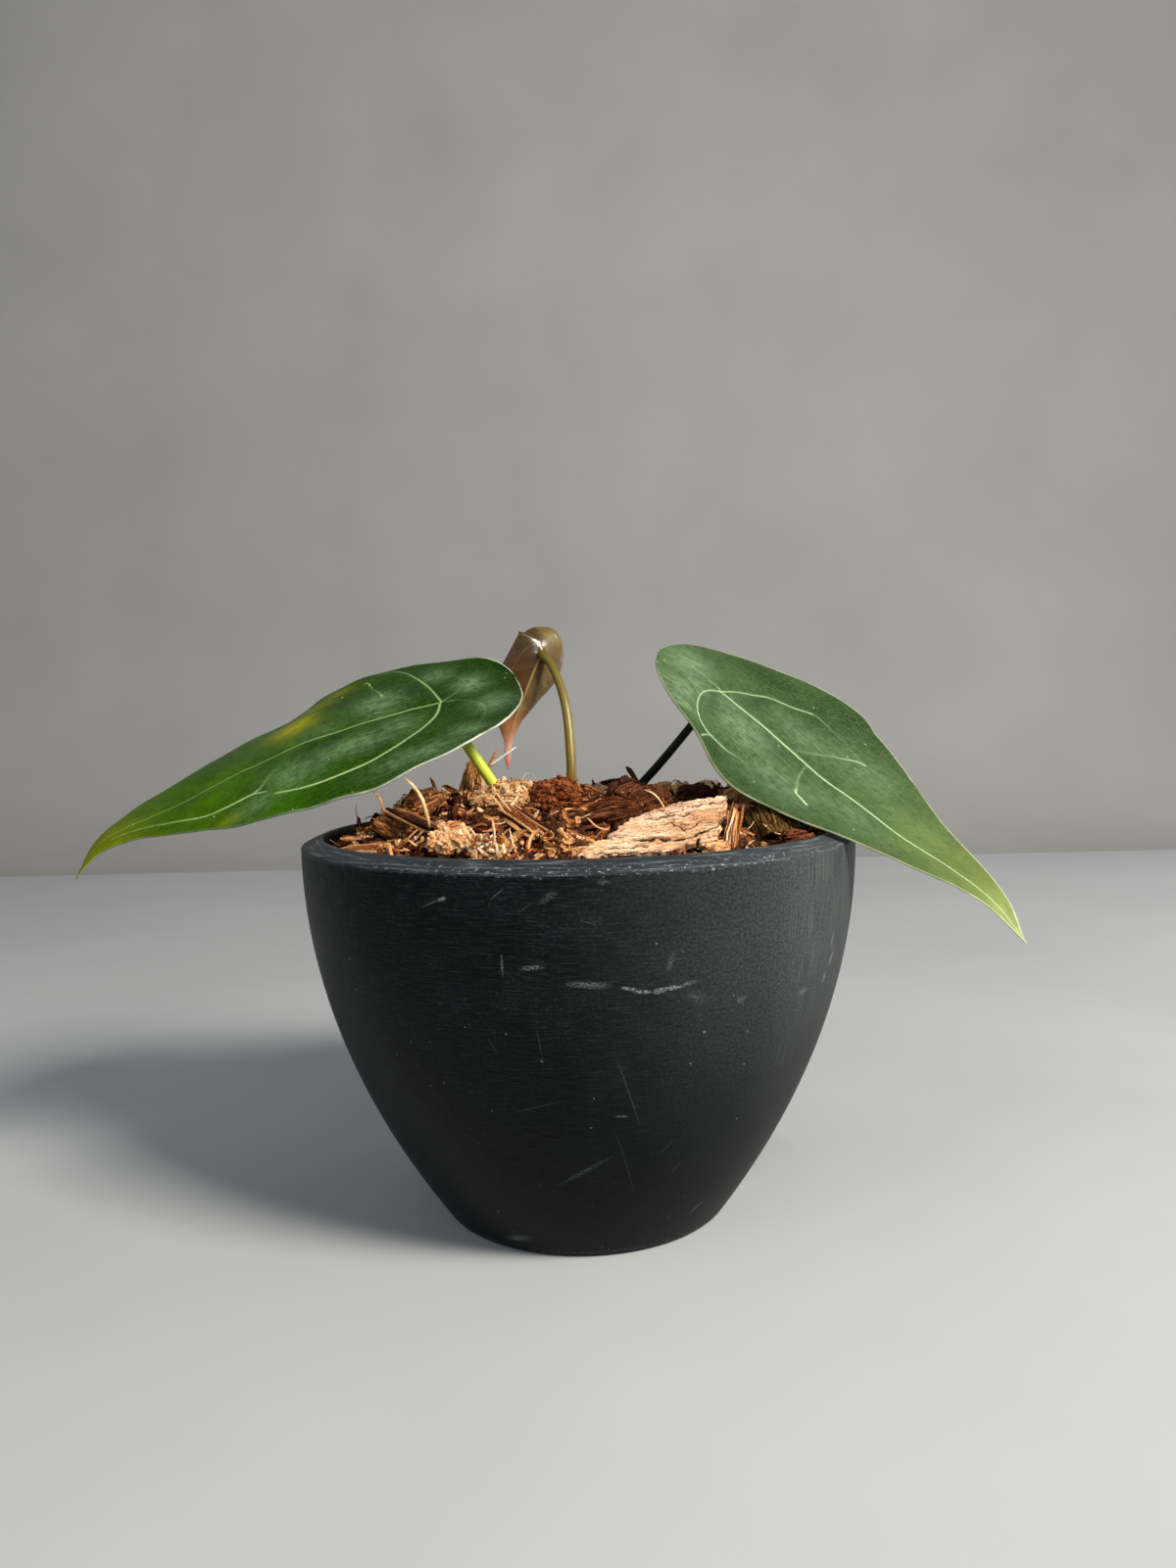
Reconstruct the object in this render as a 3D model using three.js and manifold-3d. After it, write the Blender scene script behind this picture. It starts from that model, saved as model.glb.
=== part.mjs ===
// A young Anthurium forgetii with two grown leaves and one new leaf, standing in a
// tapered plastic pot that is filled with coconut husk and bark.
// Millimetres, +Z up. The origin is the centre of the pot's flat foot, -Y is the side
// that the big bark plate lies on, and the two grown leaves spread along X.

import * as THREE from 'three';
import { mergeVertices } from 'three/addons/utils/BufferGeometryUtils.js';
import { ParametricGeometry } from 'three/addons/geometries/ParametricGeometry.js';
import Module from 'manifold-3d';

const manifold = await Module();
manifold.setup();

// Driving dimensions
const GAP = 0.3;
const FACETS = 48;
const MERGE_REACH = 1e-4;
const GOLDEN_SHARE = 0.618;
const GOLDEN_ANGLE = 2.39996;

const POT = {
  footRadius: 33.5,
  brimRadius: 65,
  brimHeight: 88.4,
  mouthRadius: 60,
  height: 90.5,
  bulge: 2.03,
  floor: 4,
  footWall: 3,
  brimWall: 5,
  footBevel: 0.8,
  lipCrown: 0.5,
};

const DRAIN = { count: 4, radius: 4, ring: 19, facets: 12 };

const MIX = {
  rimHeight: 87,
  moundHeight: 10.8,
  moundRadius: 59,
  steepness: 3.2,
  ringStep: 5.5,
  lump: 0.9,
};

const SMALL_CHIPS = {
  count: 38,
  innerRadius: 7,
  outerRadius: 55,
  length: [5, 8.5],
  width: [3.2, 5],
  thickness: [2, 3.4],
  sink: 0.35,
  roll: 25,
  pitch: 22,
  seed: 11,
};

const BACK_CHIPS = {
  count: 13,
  innerRadius: 21,
  outerRadius: 49,
  fromAngle: 12,
  toAngle: 168,
  length: [9, 14],
  width: [6.5, 9.5],
  thickness: [4, 6.5],
  lift: -0.6,
  roll: 20,
  pitch: 16,
  seed: 29,
};

// How a box or a ball is made into a rough piece: how far its points drift, as shares of
// its sides, how much a box narrows at its ends, and how square a ball is
const ROUGH = {
  drift: [0.07, 0.11, 0.13],
  narrowing: 0.22,
  push: [0.88, 1.14],
  squareness: 0.45,
};

const BLADE_THICKNESS = 0.8;
const RIPPLES = 3;
const RIPPLE_SHIFT = 2;

// Each blade's rib runs from the rounded base lobe to the drip tip. Turning is how far
// the right-hand half drops, cup how far the margins drop, and rightHalf how wide the
// right-hand half is for each mm of the left-hand one, at evenly spaced stations.
const LEAF_LEFT = {
  rib: [[-13.7, 6.5, 125], [-29.5, 3.9, 121.7], [-58, -0.8, 114.5], [-90, -7, 100],
    [-107.6, -17, 90.7], [-112.2, -21, 83.4]],
  facing: [0, 0, 1],
  halfWidth: 28,
  widestAt: 0.34,
  base: 2.5,
  shoulder: 1.93,
  taper: 1.44,
  turning: [-24, -26, -23, -11],
  cup: [-0.07, 0.15, 0.06],
  rightHalf: [1, 1],
  ripple: 0.5,
  along: 24,
  across: 10,
};

const LEAF_RIGHT = {
  rib: [[21, 2.3, 132.5], [41.3, -2.5, 116.3], [56.4, -10.4, 101.8], [73.3, -19.4, 88],
    [89.8, -27.6, 75.2], [95.7, -32.6, 66]],
  facing: [0, 0, 1],
  halfWidth: 26.2,
  widestAt: 0.39,
  base: 1.96,
  shoulder: 1.33,
  taper: 1.22,
  turning: [25, 24, 17, 13],
  cup: [0, -0.12, -0.16],
  rightHalf: [1, 1],
  ripple: 0.4,
  along: 24,
  across: 10,
};

const LEAF_NEW = {
  rib: [[-10.2, 24, 139.9], [-8.4, 21, 136.8], [-9.1, 19.5, 132.3], [-11.4, 19, 126.9],
    [-13.5, 19, 121.8], [-16.6, 19, 113.6], [-17.9, 18, 103.4]],
  facing: [-0.35, 1, 0],
  halfWidth: 7.9,
  widestAt: 0.4,
  base: 2,
  shoulder: 1.5,
  taper: 1.44,
  turning: [0, 0, 0, 0],
  cup: [-0.1, -0.5, -0.5],
  rightHalf: [1, 1, 0.92, 0.68, 0.45, 0.45, 0.6],
  ripple: 0,
  along: 18,
  across: 6,
};

const PETIOLE_LEFT = {
  path: [[-8.5, 4.6, 86], [-15.5, 4.3, 93.5], [-21.8, 4, 102.8], [-27.5, 3.8, 112],
    [-32.4, 3.5, 121.8]],
  radius: [1.45, 1.25],
};

const PETIOLE_RIGHT = {
  path: [[-1.5, 4.4, 86], [7, 2.6, 92.8], [16, 1, 100.9], [25.9, 0.2, 112], [34.5, -0.4, 122.7]],
  radius: [1.1, 0.95],
};

const PETIOLE_NEW = {
  path: [[-4.6, 6, 86.4], [-2.6, 6, 94], [-1.5, 6.2, 101.5], [-1.6, 8, 109], [-2.4, 11, 118.3],
    [-4, 14, 125], [-6.2, 16.5, 130], [-8.2, 18.6, 132.4], [-9.6, 20.8, 133]],
  radius: [1.25, 0.9],
};

const PETIOLE_SIDES = 8;
const PETIOLE_STEPS = 12;

const CROWN = {
  path: [[-6, 5, 66], [-5.6, 4.8, 75], [-5, 4.6, 85]],
  radius: 4.2,
  sides: 9,
  steps: 3,
};

const ROOTS = {
  count: 6,
  radius: 1.3,
  reach: 30,
  drop: 34,
  startHeight: 76,
  startStep: 1.5,
  firstTurn: 0.3,
  twist: 0.5,
  thinning: 0.7,
  stations: [[0.04, 0], [0.3, 0.05], [0.65, 0.3], [0.9, 0.65], [1, 1]],
  sides: 5,
  steps: 4,
};

const COLOURS = {
  pot: 0x1b2024,
  mix: 0x4f2c18,
  leafLeft: 0x3c6b2a,
  leafRight: 0x4d7048,
  leafNew: 0x7c5a33,
  petioleLeft: 0xa3b53a,
  petioleRight: 0x3d4220,
  petioleNew: 0x7f6d2c,
  crown: 0x8a7f4a,
  bark: 0xc99a72,
  orange: 0xb06a38,
  red: 0x7a3b1e,
  dark: 0x40210f,
  pale: 0xd2a06f,
};

// A piece that lies on the mound: centre, length x width x thickness, and turn in degrees
// about its own length, up at the +length end, and about the vertical
const chip = (name, form, colour, at, size, turn) => ({ name, form, colour, at, size, turn });

const SHOWN_CHIPS = [
  chip('husk_clump_left', 'clump', 'orange', [-17.2, -12, 97.8], [15, 13, 9], [10, 0, -20]),
  chip('husk_block_red', 'clump', 'red', [-5.6, -12.5, 98.2], [12, 13, 9.5], [8, 4, 12]),
  chip('husk_round_dark', 'clump', 'dark', [-22, -39, 93.8], [8, 7.5, 6.5], [-12, 8, 30]),
  chip('pith_clump', 'clump', 'pale', [-25.8, -44, 92.4], [8.6, 8.6, 7.6], [10, 0, 10]),
  chip('splinter_bundle', 'block', 'orange', [-10.2, -39.5, 94.4], [19, 5, 3.6], [30, -16, -58]),
  chip('splinter_long', 'block', 'orange', [-35.6, -29.4, 95.6], [23, 2.8, 1.8], [25, -10, -52]),
  chip('splinter_flat_left', 'block', 'pale', [-46.5, -31.5, 89.2], [11, 6.5, 2.4], [18, 4, -30]),
  chip('husk_red_left', 'block', 'orange', [-40, -23, 93], [9, 8, 5.5], [18, -10, -35]),
  chip('husk_dark_left', 'block', 'dark', [-36.4, -5, 96], [10, 9, 6.5], [14, 24, 20]),
  chip('chip_upright', 'block', 'pale', [-26.2, 9.6, 101], [9.5, 5.5, 2.2], [80, 74, 15]),
  chip('husk_dark_right', 'block', 'dark', [11.6, -10, 98.6], [9, 9, 5.5], [12, 14, 30]),
  chip('husk_fibrous_centre', 'block', 'orange', [7.2, -34, 95.2], [12, 9, 6.5], [28, 16, -24]),
  chip('husk_mid_right', 'block', 'red', [16, -23, 96.4], [10.5, 9, 6], [20, 6, 20]),
  chip('husk_back_dark', 'block', 'dark', [28.2, -7, 97], [9, 8, 6.5], [10, 6, -20]),
  chip('stick_orange', 'block', 'orange', [32.2, -38.5, 92.8], [13, 3, 2.2], [30, 44, 70]),
  chip('chip_right_high', 'block', 'pale', [37.4, -6, 96.8], [11, 7, 5], [24, 12, -32]),
  chip('husk_right_olive', 'block', 'dark', [42.2, -26, 91.9], [11, 9, 6.5], [34, -10, 20]),
  chip('chip_right_low', 'block', 'pale', [28, -46.6, 90.8], [5.5, 4.6, 3], [25, 20, 50]),
  chip('husk_rim_right', 'block', 'red', [47.6, -33.6, 89], [9, 6, 4], [26, -6, 40]),
  chip('splinter_rim_centre', 'block', 'orange', [-3.4, -51, 91], [10, 4, 2.6], [30, -24, -56]),
  chip('husk_rim_left', 'block', 'pale', [-16.4, -50, 91], [8.5, 6, 4], [34, -4, -8]),
  chip('husk_rim_far_left', 'block', 'orange', [-35.2, -41, 89.6], [9, 6, 3.6], [26, 4, -34]),
];

const BARK_UPPER = {
  outline: [[-14, 0], [-11, 1], [-7, 3], [2.5, 3.2], [14, 1.6], [14, -2.4], [9.5, -5.5], [9, -8.6],
    [4, -8], [-6, -4.5]],
  thickness: 2.6,
  at: [18.8, -43, 95.2],
  turn: [44, 12, 20],
};

const BARK_LOWER = {
  outline: [[-13, -1.5], [-8, 2], [0, 3], [11, 2.4], [13, 0.5], [6, -2], [-4, -2.8]],
  thickness: 2.2,
  at: [12, -51.4, 91],
  turn: [36, 2, 14],
};

// Helpers for closed bodies
function seededDraws(seed) {
  const multiplier = 16807;
  const modulus = 2147483647;
  let state = seed * 7919;
  return (low = 0, high = 1) => {
    state = (state * multiplier) % modulus;
    return low + (high - low) * (state / modulus);
  };
}

function stationValue(values, s) {
  const place = s * (values.length - 1);
  const left = Math.min(Math.floor(place), values.length - 2);
  return THREE.MathUtils.lerp(values[left], values[left + 1], place - left);
}

function joined(geometry) {
  const bare = geometry.index ? geometry.clone() : geometry;
  bare.deleteAttribute('normal');
  bare.deleteAttribute('uv');
  const merged = mergeVertices(bare, MERGE_REACH);
  const corners = merged.index.array;
  const kept = [];
  for (let i = 0; i < corners.length; i += 3) {
    const [a, b, c] = corners.slice(i, i + 3);
    if (a !== b && b !== c && c !== a) {
      kept.push(a, b, c);
    }
  }
  merged.setIndex(kept);
  return merged;
}

function volumeOf(geometry) {
  const place = geometry.getAttribute('position');
  const corners = geometry.index.array;
  const [a, b, c] = [new THREE.Vector3(), new THREE.Vector3(), new THREE.Vector3()];
  let six = 0;
  for (let i = 0; i < corners.length; i += 3) {
    a.fromBufferAttribute(place, corners[i]);
    b.fromBufferAttribute(place, corners[i + 1]);
    c.fromBufferAttribute(place, corners[i + 2]);
    six += a.dot(b.cross(c));
  }
  return six / 6;
}

function closed(geometry) {
  const body = joined(geometry);
  if (volumeOf(body) < 0) {
    body.setIndex(Array.from(body.index.array).reverse());
  }
  return body;
}

function solidOf(geometry) {
  const body = closed(geometry);
  return new manifold.Manifold(new manifold.Mesh({
    numProp: 3,
    vertProperties: new Float32Array(body.getAttribute('position').array),
    triVerts: new Uint32Array(body.index.array),
  }));
}

function geometryOf(solid) {
  const mesh = solid.getMesh();
  const geometry = new THREE.BufferGeometry();
  geometry.setAttribute('position', new THREE.BufferAttribute(mesh.vertProperties, 3));
  geometry.setIndex(new THREE.BufferAttribute(mesh.triVerts, 1));
  return geometry;
}

function largestBody(solid) {
  return solid.decompose().reduce((best, next) => (next.volume() > best.volume() ? next : best));
}

function placement(at, turn) {
  const [roll, pitch, yaw] = turn.map(THREE.MathUtils.degToRad);
  const euler = new THREE.Euler(roll, -pitch, yaw, 'ZYX');
  return { position: new THREE.Vector3(...at), quaternion: new THREE.Quaternion().setFromEuler(euler) };
}

function placed(geometry, at, turn) {
  const { position, quaternion } = placement(at, turn);
  const sameSize = new THREE.Vector3(1, 1, 1);
  return geometry.clone().applyMatrix4(new THREE.Matrix4().compose(position, quaternion, sameSize));
}

function finish(colour, roughness) {
  return new THREE.MeshStandardMaterial({ color: colour, roughness, metalness: 0 });
}

function smoothPath(points) {
  return new THREE.CatmullRomCurve3(points.map((point) => new THREE.Vector3(...point)));
}

// A round stalk along a smooth path, thinning evenly from its first radius to its last
function stalk(path, radius, sides, steps, grow = 0) {
  const section = new THREE.Shape();
  for (let i = 0; i < sides; i += 1) {
    const angle = (2 * Math.PI * i) / sides;
    section[i === 0 ? 'moveTo' : 'lineTo'](Math.cos(angle), Math.sin(angle));
  }
  const curve = smoothPath(path);
  const geometry = new THREE.ExtrudeGeometry(section, { steps, extrudePath: curve, curveSegments: 1 });
  const stations = curve.getSpacedPoints(steps);
  const place = geometry.getAttribute('position');
  const vertex = new THREE.Vector3();
  for (let i = 0; i < place.count; i += 1) {
    vertex.fromBufferAttribute(place, i);
    const distances = stations.map((station) => station.distanceTo(vertex));
    const nearest = distances.indexOf(Math.min(...distances));
    const wanted = stationValue(radius, nearest / steps) + grow;
    vertex.sub(stations[nearest]).multiplyScalar(wanted).add(stations[nearest]);
    place.setXYZ(i, vertex.x, vertex.y, vertex.z);
  }
  return closed(geometry);
}

// Pot
function potOuterRadius(height) {
  const left = Math.max(0, 1 - height / POT.brimHeight);
  return POT.brimRadius - (POT.brimRadius - POT.footRadius) * left ** POT.bulge;
}

function potInnerRadius(height) {
  const wall = THREE.MathUtils.lerp(POT.footWall, POT.brimWall, height / POT.brimHeight);
  return potOuterRadius(height) - wall;
}

function turned(profile) {
  const points = profile.map(([radius, height]) => new THREE.Vector2(radius, height));
  return closed(new THREE.LatheGeometry(points, FACETS).rotateX(Math.PI / 2));
}

const WALL_HEIGHTS = [8, 18, 30, 44, 60, 76];
const WALL_GAP = GAP + 0.1;

function drainHole(index) {
  const angle = (2 * Math.PI * (index + 0.5)) / DRAIN.count;
  const depth = POT.floor * 3;
  const cutter = new THREE.CylinderGeometry(DRAIN.radius, DRAIN.radius, depth, DRAIN.facets);
  cutter.rotateX(Math.PI / 2);
  cutter.translate(DRAIN.ring * Math.cos(angle), DRAIN.ring * Math.sin(angle), 0);
  return cutter;
}

function makePot() {
  const lipRadius = (POT.brimRadius + POT.mouthRadius) / 2;
  const lipHeight = (POT.brimHeight + POT.height) / 2 + POT.lipCrown;
  const profile = [
    [0, 0],
    [POT.footRadius - POT.footBevel, 0],
    [potOuterRadius(POT.footBevel), POT.footBevel],
    ...WALL_HEIGHTS.map((height) => [potOuterRadius(height), height]),
    [POT.brimRadius, POT.brimHeight],
    [lipRadius, lipHeight],
    [POT.mouthRadius, POT.height],
    [potInnerRadius(POT.brimHeight), POT.brimHeight - 1],
    ...WALL_HEIGHTS.toReversed().map((height) => [potInnerRadius(height), height]),
    [potInnerRadius(POT.floor), POT.floor],
    [0, POT.floor],
  ];
  let solid = solidOf(turned(profile));
  for (let i = 0; i < DRAIN.count; i += 1) {
    solid = solid.subtract(solidOf(drainHole(i)));
  }
  const pot = new THREE.Mesh(geometryOf(solid), finish(COLOURS.pot, 0.55));
  pot.name = 'pot';
  return pot;
}

// The room that the pot leaves for its filling, open far above the rim
function fillingProfile() {
  return [
    [0, POT.floor + WALL_GAP],
    [potInnerRadius(POT.floor) - WALL_GAP, POT.floor + WALL_GAP],
    ...WALL_HEIGHTS.map((height) => [potInnerRadius(height) - WALL_GAP, height]),
  ];
}

function potRoom() {
  const aboveAll = 2 * POT.height;
  return solidOf(turned([
    ...fillingProfile(),
    [POT.mouthRadius - WALL_GAP, POT.brimHeight],
    [POT.mouthRadius - WALL_GAP, aboveAll],
    [0, aboveAll],
  ]));
}

// Leaves
function halfWidthAt(leaf, s) {
  if (s < leaf.widestAt) {
    return leaf.halfWidth * (1 - (1 - s / leaf.widestAt) ** leaf.base) ** (1 / leaf.base);
  }
  const past = (s - leaf.widestAt) / (1 - leaf.widestAt);
  return leaf.halfWidth * Math.max(0, 1 - past ** leaf.shoulder) ** leaf.taper;
}

function bladeSurface(leaf) {
  const rib = smoothPath(leaf.rib);
  const facing = new THREE.Vector3(...leaf.facing).normalize();
  return joined(new ParametricGeometry((u, v, target) => {
    const s = (v + (1 - Math.cos(Math.PI * v)) / 2) / 2;
    const along = rib.getTangentAt(s);
    const level = new THREE.Vector3().crossVectors(along, facing).normalize();
    const turning = THREE.MathUtils.degToRad(stationValue(leaf.turning, s));
    const right = level.clone().applyAxisAngle(along, turning);
    const above = new THREE.Vector3().crossVectors(right, along);
    const across = 2 * u - 1;
    const half = halfWidthAt(leaf, s) * (across > 0 ? stationValue(leaf.rightHalf, s) : 1);
    const phase = 2 * Math.PI * RIPPLES * s + RIPPLE_SHIFT * Math.sign(across);
    const waves = leaf.ripple * Math.sin(phase) * across ** 4;
    const lift = -stationValue(leaf.cup, s) * half * across ** 2 + waves * (half / leaf.halfWidth);
    target.copy(rib.getPointAt(s));
    target.addScaledVector(right, half * across).addScaledVector(above, lift);
  }, leaf.across, leaf.along));
}

// Gives an open surface an even thickness, half to each side, with its rim closed
function thicken(surface, thickness) {
  surface.computeVertexNormals();
  const place = surface.getAttribute('position');
  const normal = surface.getAttribute('normal');
  const count = place.count;
  const points = [];
  for (const side of [thickness / 2, -thickness / 2]) {
    for (let i = 0; i < count; i += 1) {
      points.push(
        place.getX(i) + side * normal.getX(i),
        place.getY(i) + side * normal.getY(i),
        place.getZ(i) + side * normal.getZ(i),
      );
    }
  }
  const upper = Array.from(surface.index.array);
  const faces = [...upper];
  const edges = new Set();
  for (let i = 0; i < upper.length; i += 3) {
    const [a, b, c] = upper.slice(i, i + 3);
    faces.push(count + c, count + b, count + a);
    edges.add(`${a},${b}`).add(`${b},${c}`).add(`${c},${a}`);
  }
  for (const edge of edges) {
    const [a, b] = edge.split(',').map(Number);
    if (!edges.has(`${b},${a}`)) {
      faces.push(b, a, count + a, b, count + a, count + b);
    }
  }
  const body = new THREE.BufferGeometry();
  body.setAttribute('position', new THREE.Float32BufferAttribute(points, 3));
  body.setIndex(faces);
  return closed(body);
}

function makeBlade(name, leaf, colour) {
  const blade = new THREE.Mesh(thicken(bladeSurface(leaf), BLADE_THICKNESS), finish(colour, 0.45));
  blade.name = name;
  return blade;
}

function makePetiole(name, petiole, leaf, colour) {
  const room = solidOf(thicken(bladeSurface(leaf), BLADE_THICKNESS + 2 * GAP));
  const rod = stalk(petiole.path, petiole.radius, PETIOLE_SIDES, PETIOLE_STEPS);
  const mesh = new THREE.Mesh(geometryOf(largestBody(solidOf(rod).subtract(room))), finish(colour, 0.4));
  mesh.name = name;
  return mesh;
}

function petioleRoom(petiole) {
  return solidOf(stalk(petiole.path, petiole.radius, PETIOLE_SIDES, PETIOLE_STEPS, GAP));
}

// Short buried stem with its roots
function rootPath(index) {
  const angle = (2 * Math.PI * (index + ROOTS.firstTurn)) / ROOTS.count;
  const start = ROOTS.startHeight - ROOTS.startStep * (index % 3);
  const [middleX, middleY] = CROWN.path[1];
  return ROOTS.stations.map(([share, fall]) => [
    middleX + ROOTS.reach * share * Math.cos(angle + share * ROOTS.twist),
    middleY + ROOTS.reach * share * Math.sin(angle + share * ROOTS.twist),
    start - ROOTS.drop * fall,
  ]);
}

function crownSolid(grow) {
  const stem = stalk(CROWN.path, [CROWN.radius, CROWN.radius], CROWN.sides, CROWN.steps, grow);
  const rootRadius = [ROOTS.radius, ROOTS.radius * ROOTS.thinning];
  let solid = solidOf(stem);
  for (let i = 0; i < ROOTS.count; i += 1) {
    solid = solid.add(solidOf(stalk(rootPath(i), rootRadius, ROOTS.sides, ROOTS.steps, grow)));
  }
  return solid;
}

function makeCrown(rooms) {
  const solid = rooms.reduce((rest, room) => rest.subtract(room), crownSolid(0));
  const crown = new THREE.Mesh(geometryOf(largestBody(solid)), finish(COLOURS.crown, 0.6));
  crown.name = 'crown_with_roots';
  return crown;
}

// Husk and bark
function moundHeight(x, y) {
  const fall = Math.min(1, Math.hypot(x, y) / MIX.moundRadius) ** MIX.steepness;
  return MIX.rimHeight + MIX.moundHeight * (1 - fall);
}

function lumps(x, y) {
  const long = Math.sin(x / 4.3 + 1.7) * Math.cos(y / 5.1);
  const short = Math.sin((x + y) / 2.9) * 0.6;
  return MIX.lump * (long + short);
}

// A rough block: a box whose grid of points is pushed about by seeded draws
function roughBlock(size, seed, grid, grow = 0) {
  const [length, width, thickness] = size.map((side) => side + 2 * grow);
  const draw = seededDraws(seed);
  const block = joined(new THREE.BoxGeometry(length, width, thickness, ...grid));
  const place = block.getAttribute('position');
  const [driftX, driftY, driftZ] = size.map((side, axis) => side * ROUGH.drift[axis]);
  for (let i = 0; i < place.count; i += 1) {
    const [x, y, z] = [place.getX(i), place.getY(i), place.getZ(i)];
    const endShare = Math.abs(x) / (length / 2);
    const narrowing = 1 - ROUGH.narrowing * endShare ** 2;
    place.setXYZ(
      i,
      x + draw(-driftX, driftX),
      y * narrowing + draw(-driftY, driftY),
      z * narrowing + draw(-driftZ, driftZ),
    );
  }
  return closed(block);
}

// A rough lump: a coarse ball whose points are pushed about by seeded draws
function roughClump(size, seed, grow = 0) {
  const draw = seededDraws(seed);
  const ball = joined(new THREE.IcosahedronGeometry(1, 1));
  const place = ball.getAttribute('position');
  const half = size.map((side) => side / 2);
  for (let i = 0; i < place.count; i += 1) {
    const point = [place.getX(i), place.getY(i), place.getZ(i)];
    const ontoCube = 1 / Math.max(...point.map(Math.abs));
    const reach = THREE.MathUtils.lerp(1, ontoCube, ROUGH.squareness) * draw(...ROUGH.push);
    place.setXYZ(i, ...point.map((value, axis) => value * (half[axis] * reach + grow)));
  }
  return closed(ball);
}

function plate(bark, grow = 0) {
  const outline = new THREE.Shape(bark.outline.map(([x, y]) => {
    const reach = Math.hypot(x, y);
    return new THREE.Vector2(x * (1 + grow / reach), y * (1 + grow / reach));
  }));
  const depth = bark.thickness + 2 * grow;
  const geometry = new THREE.ExtrudeGeometry(outline, { depth, bevelEnabled: false });
  return closed(geometry.translate(0, 0, -depth / 2));
}

// Places along a widening spiral, so that pieces are spread evenly over the mound
function spiralPlace(index, spread) {
  const share = Math.sqrt((index + 0.5) / spread.count);
  const radius = THREE.MathUtils.lerp(spread.innerRadius, spread.outerRadius, share);
  return { radius, angle: index * GOLDEN_ANGLE };
}

function smallChips() {
  const draw = seededDraws(SMALL_CHIPS.seed);
  const chips = [];
  for (let i = 0; i < SMALL_CHIPS.count; i += 1) {
    const { radius, angle } = spiralPlace(i, SMALL_CHIPS);
    const size = [draw(...SMALL_CHIPS.length), draw(...SMALL_CHIPS.width), draw(...SMALL_CHIPS.thickness)];
    const [x, y] = [radius * Math.cos(angle), radius * Math.sin(angle)];
    const height = moundHeight(x, y) + lumps(x, y) + size[2] * (0.5 - SMALL_CHIPS.sink);
    const { roll, pitch } = SMALL_CHIPS;
    const turn = [draw(-roll, roll), draw(-pitch, pitch), draw(0, 180)];
    const chipSeed = SMALL_CHIPS.count + i;
    chips.push(placed(roughBlock(size, chipSeed, [1, 1, 1]), [x, y, height], turn));
  }
  return chips;
}

function backChipRows() {
  const draw = seededDraws(BACK_CHIPS.seed);
  const colours = ['dark', 'orange', 'red', 'pale'];
  return Array.from({ length: BACK_CHIPS.count }, (_, i) => {
    const share = ((i + 1) * GOLDEN_SHARE) % 1;
    const radius = THREE.MathUtils.lerp(BACK_CHIPS.innerRadius, BACK_CHIPS.outerRadius, share);
    const turned = (i + 0.5) / BACK_CHIPS.count;
    const degrees = THREE.MathUtils.lerp(BACK_CHIPS.fromAngle, BACK_CHIPS.toAngle, turned);
    const angle = THREE.MathUtils.degToRad(degrees);
    const [x, y] = [radius * Math.cos(angle), radius * Math.sin(angle)];
    const size = [draw(...BACK_CHIPS.length), draw(...BACK_CHIPS.width), draw(...BACK_CHIPS.thickness)];
    const at = [x, y, moundHeight(x, y) + BACK_CHIPS.lift];
    const { roll, pitch } = BACK_CHIPS;
    const turn = [draw(-roll, roll), draw(-pitch, pitch), draw(0, 180)];
    return chip(`husk_back_${i + 1}`, 'block', colours[i % colours.length], at, size, turn);
  });
}

function chipPieces() {
  const grid = [3, 2, 1];
  const shapes = {
    block: (row, seed, grow) => roughBlock(row.size, seed, grid, grow),
    clump: (row, seed, grow) => roughClump(row.size, seed, grow),
  };
  const blocks = [...SHOWN_CHIPS, ...backChipRows()].map((row, i) => ({
    ...row,
    shape: (grow) => shapes[row.form](row, i + 1, grow),
  }));
  const plates = [
    { name: 'bark_plate_upper', ...BARK_UPPER, colour: 'bark', shape: (grow) => plate(BARK_UPPER, grow) },
    { name: 'bark_plate_lower', ...BARK_LOWER, colour: 'bark', shape: (grow) => plate(BARK_LOWER, grow) },
  ];
  return [...plates, ...blocks];
}

function roomFor(piece) {
  return solidOf(placed(piece.shape(GAP), piece.at, piece.turn));
}

// Each piece is cut clear of the stalks and of the pieces that lie above it
function makeChips(pieces, stalkRooms, room) {
  const settled = [];
  return pieces.map((piece) => {
    let solid = solidOf(placed(piece.shape(0), piece.at, piece.turn)).intersect(room);
    for (const other of [...stalkRooms, ...settled]) {
      solid = solid.subtract(other);
    }
    settled.push(roomFor(piece));
    const { position, quaternion } = placement(piece.at, piece.turn);
    const mesh = new THREE.Mesh(geometryOf(largestBody(solid)), finish(COLOURS[piece.colour], 0.9));
    mesh.name = piece.name;
    mesh.position.copy(position);
    mesh.quaternion.copy(quaternion);
    mesh.updateMatrix();
    mesh.geometry.applyMatrix4(mesh.matrix.clone().invert());
    return mesh;
  });
}

function mixBody() {
  const rings = Math.round(POT.mouthRadius / MIX.ringStep);
  const topRadius = POT.mouthRadius - WALL_GAP;
  const profile = fillingProfile();
  for (let i = 0; i <= rings; i += 1) {
    const radius = topRadius * (1 - i / rings);
    profile.push([radius, moundHeight(radius, 0)]);
  }
  const body = turned(profile);
  const place = body.getAttribute('position');
  const topStarts = (WALL_HEIGHTS.at(-1) + MIX.rimHeight) / 2;
  for (let i = 0; i < place.count; i += 1) {
    if (place.getZ(i) > topStarts) {
      place.setZ(i, place.getZ(i) + lumps(place.getX(i), place.getY(i)));
    }
  }
  return solidOf(body);
}

function makeMix(rooms, room) {
  let solid = mixBody();
  for (const chip of smallChips()) {
    solid = solid.add(solidOf(chip));
  }
  solid = solid.intersect(room);
  for (const other of rooms) {
    solid = solid.subtract(other);
  }
  const mix = new THREE.Mesh(geometryOf(largestBody(solid)), finish(COLOURS.mix, 0.95));
  mix.name = 'potting_mix';
  return mix;
}

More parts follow.
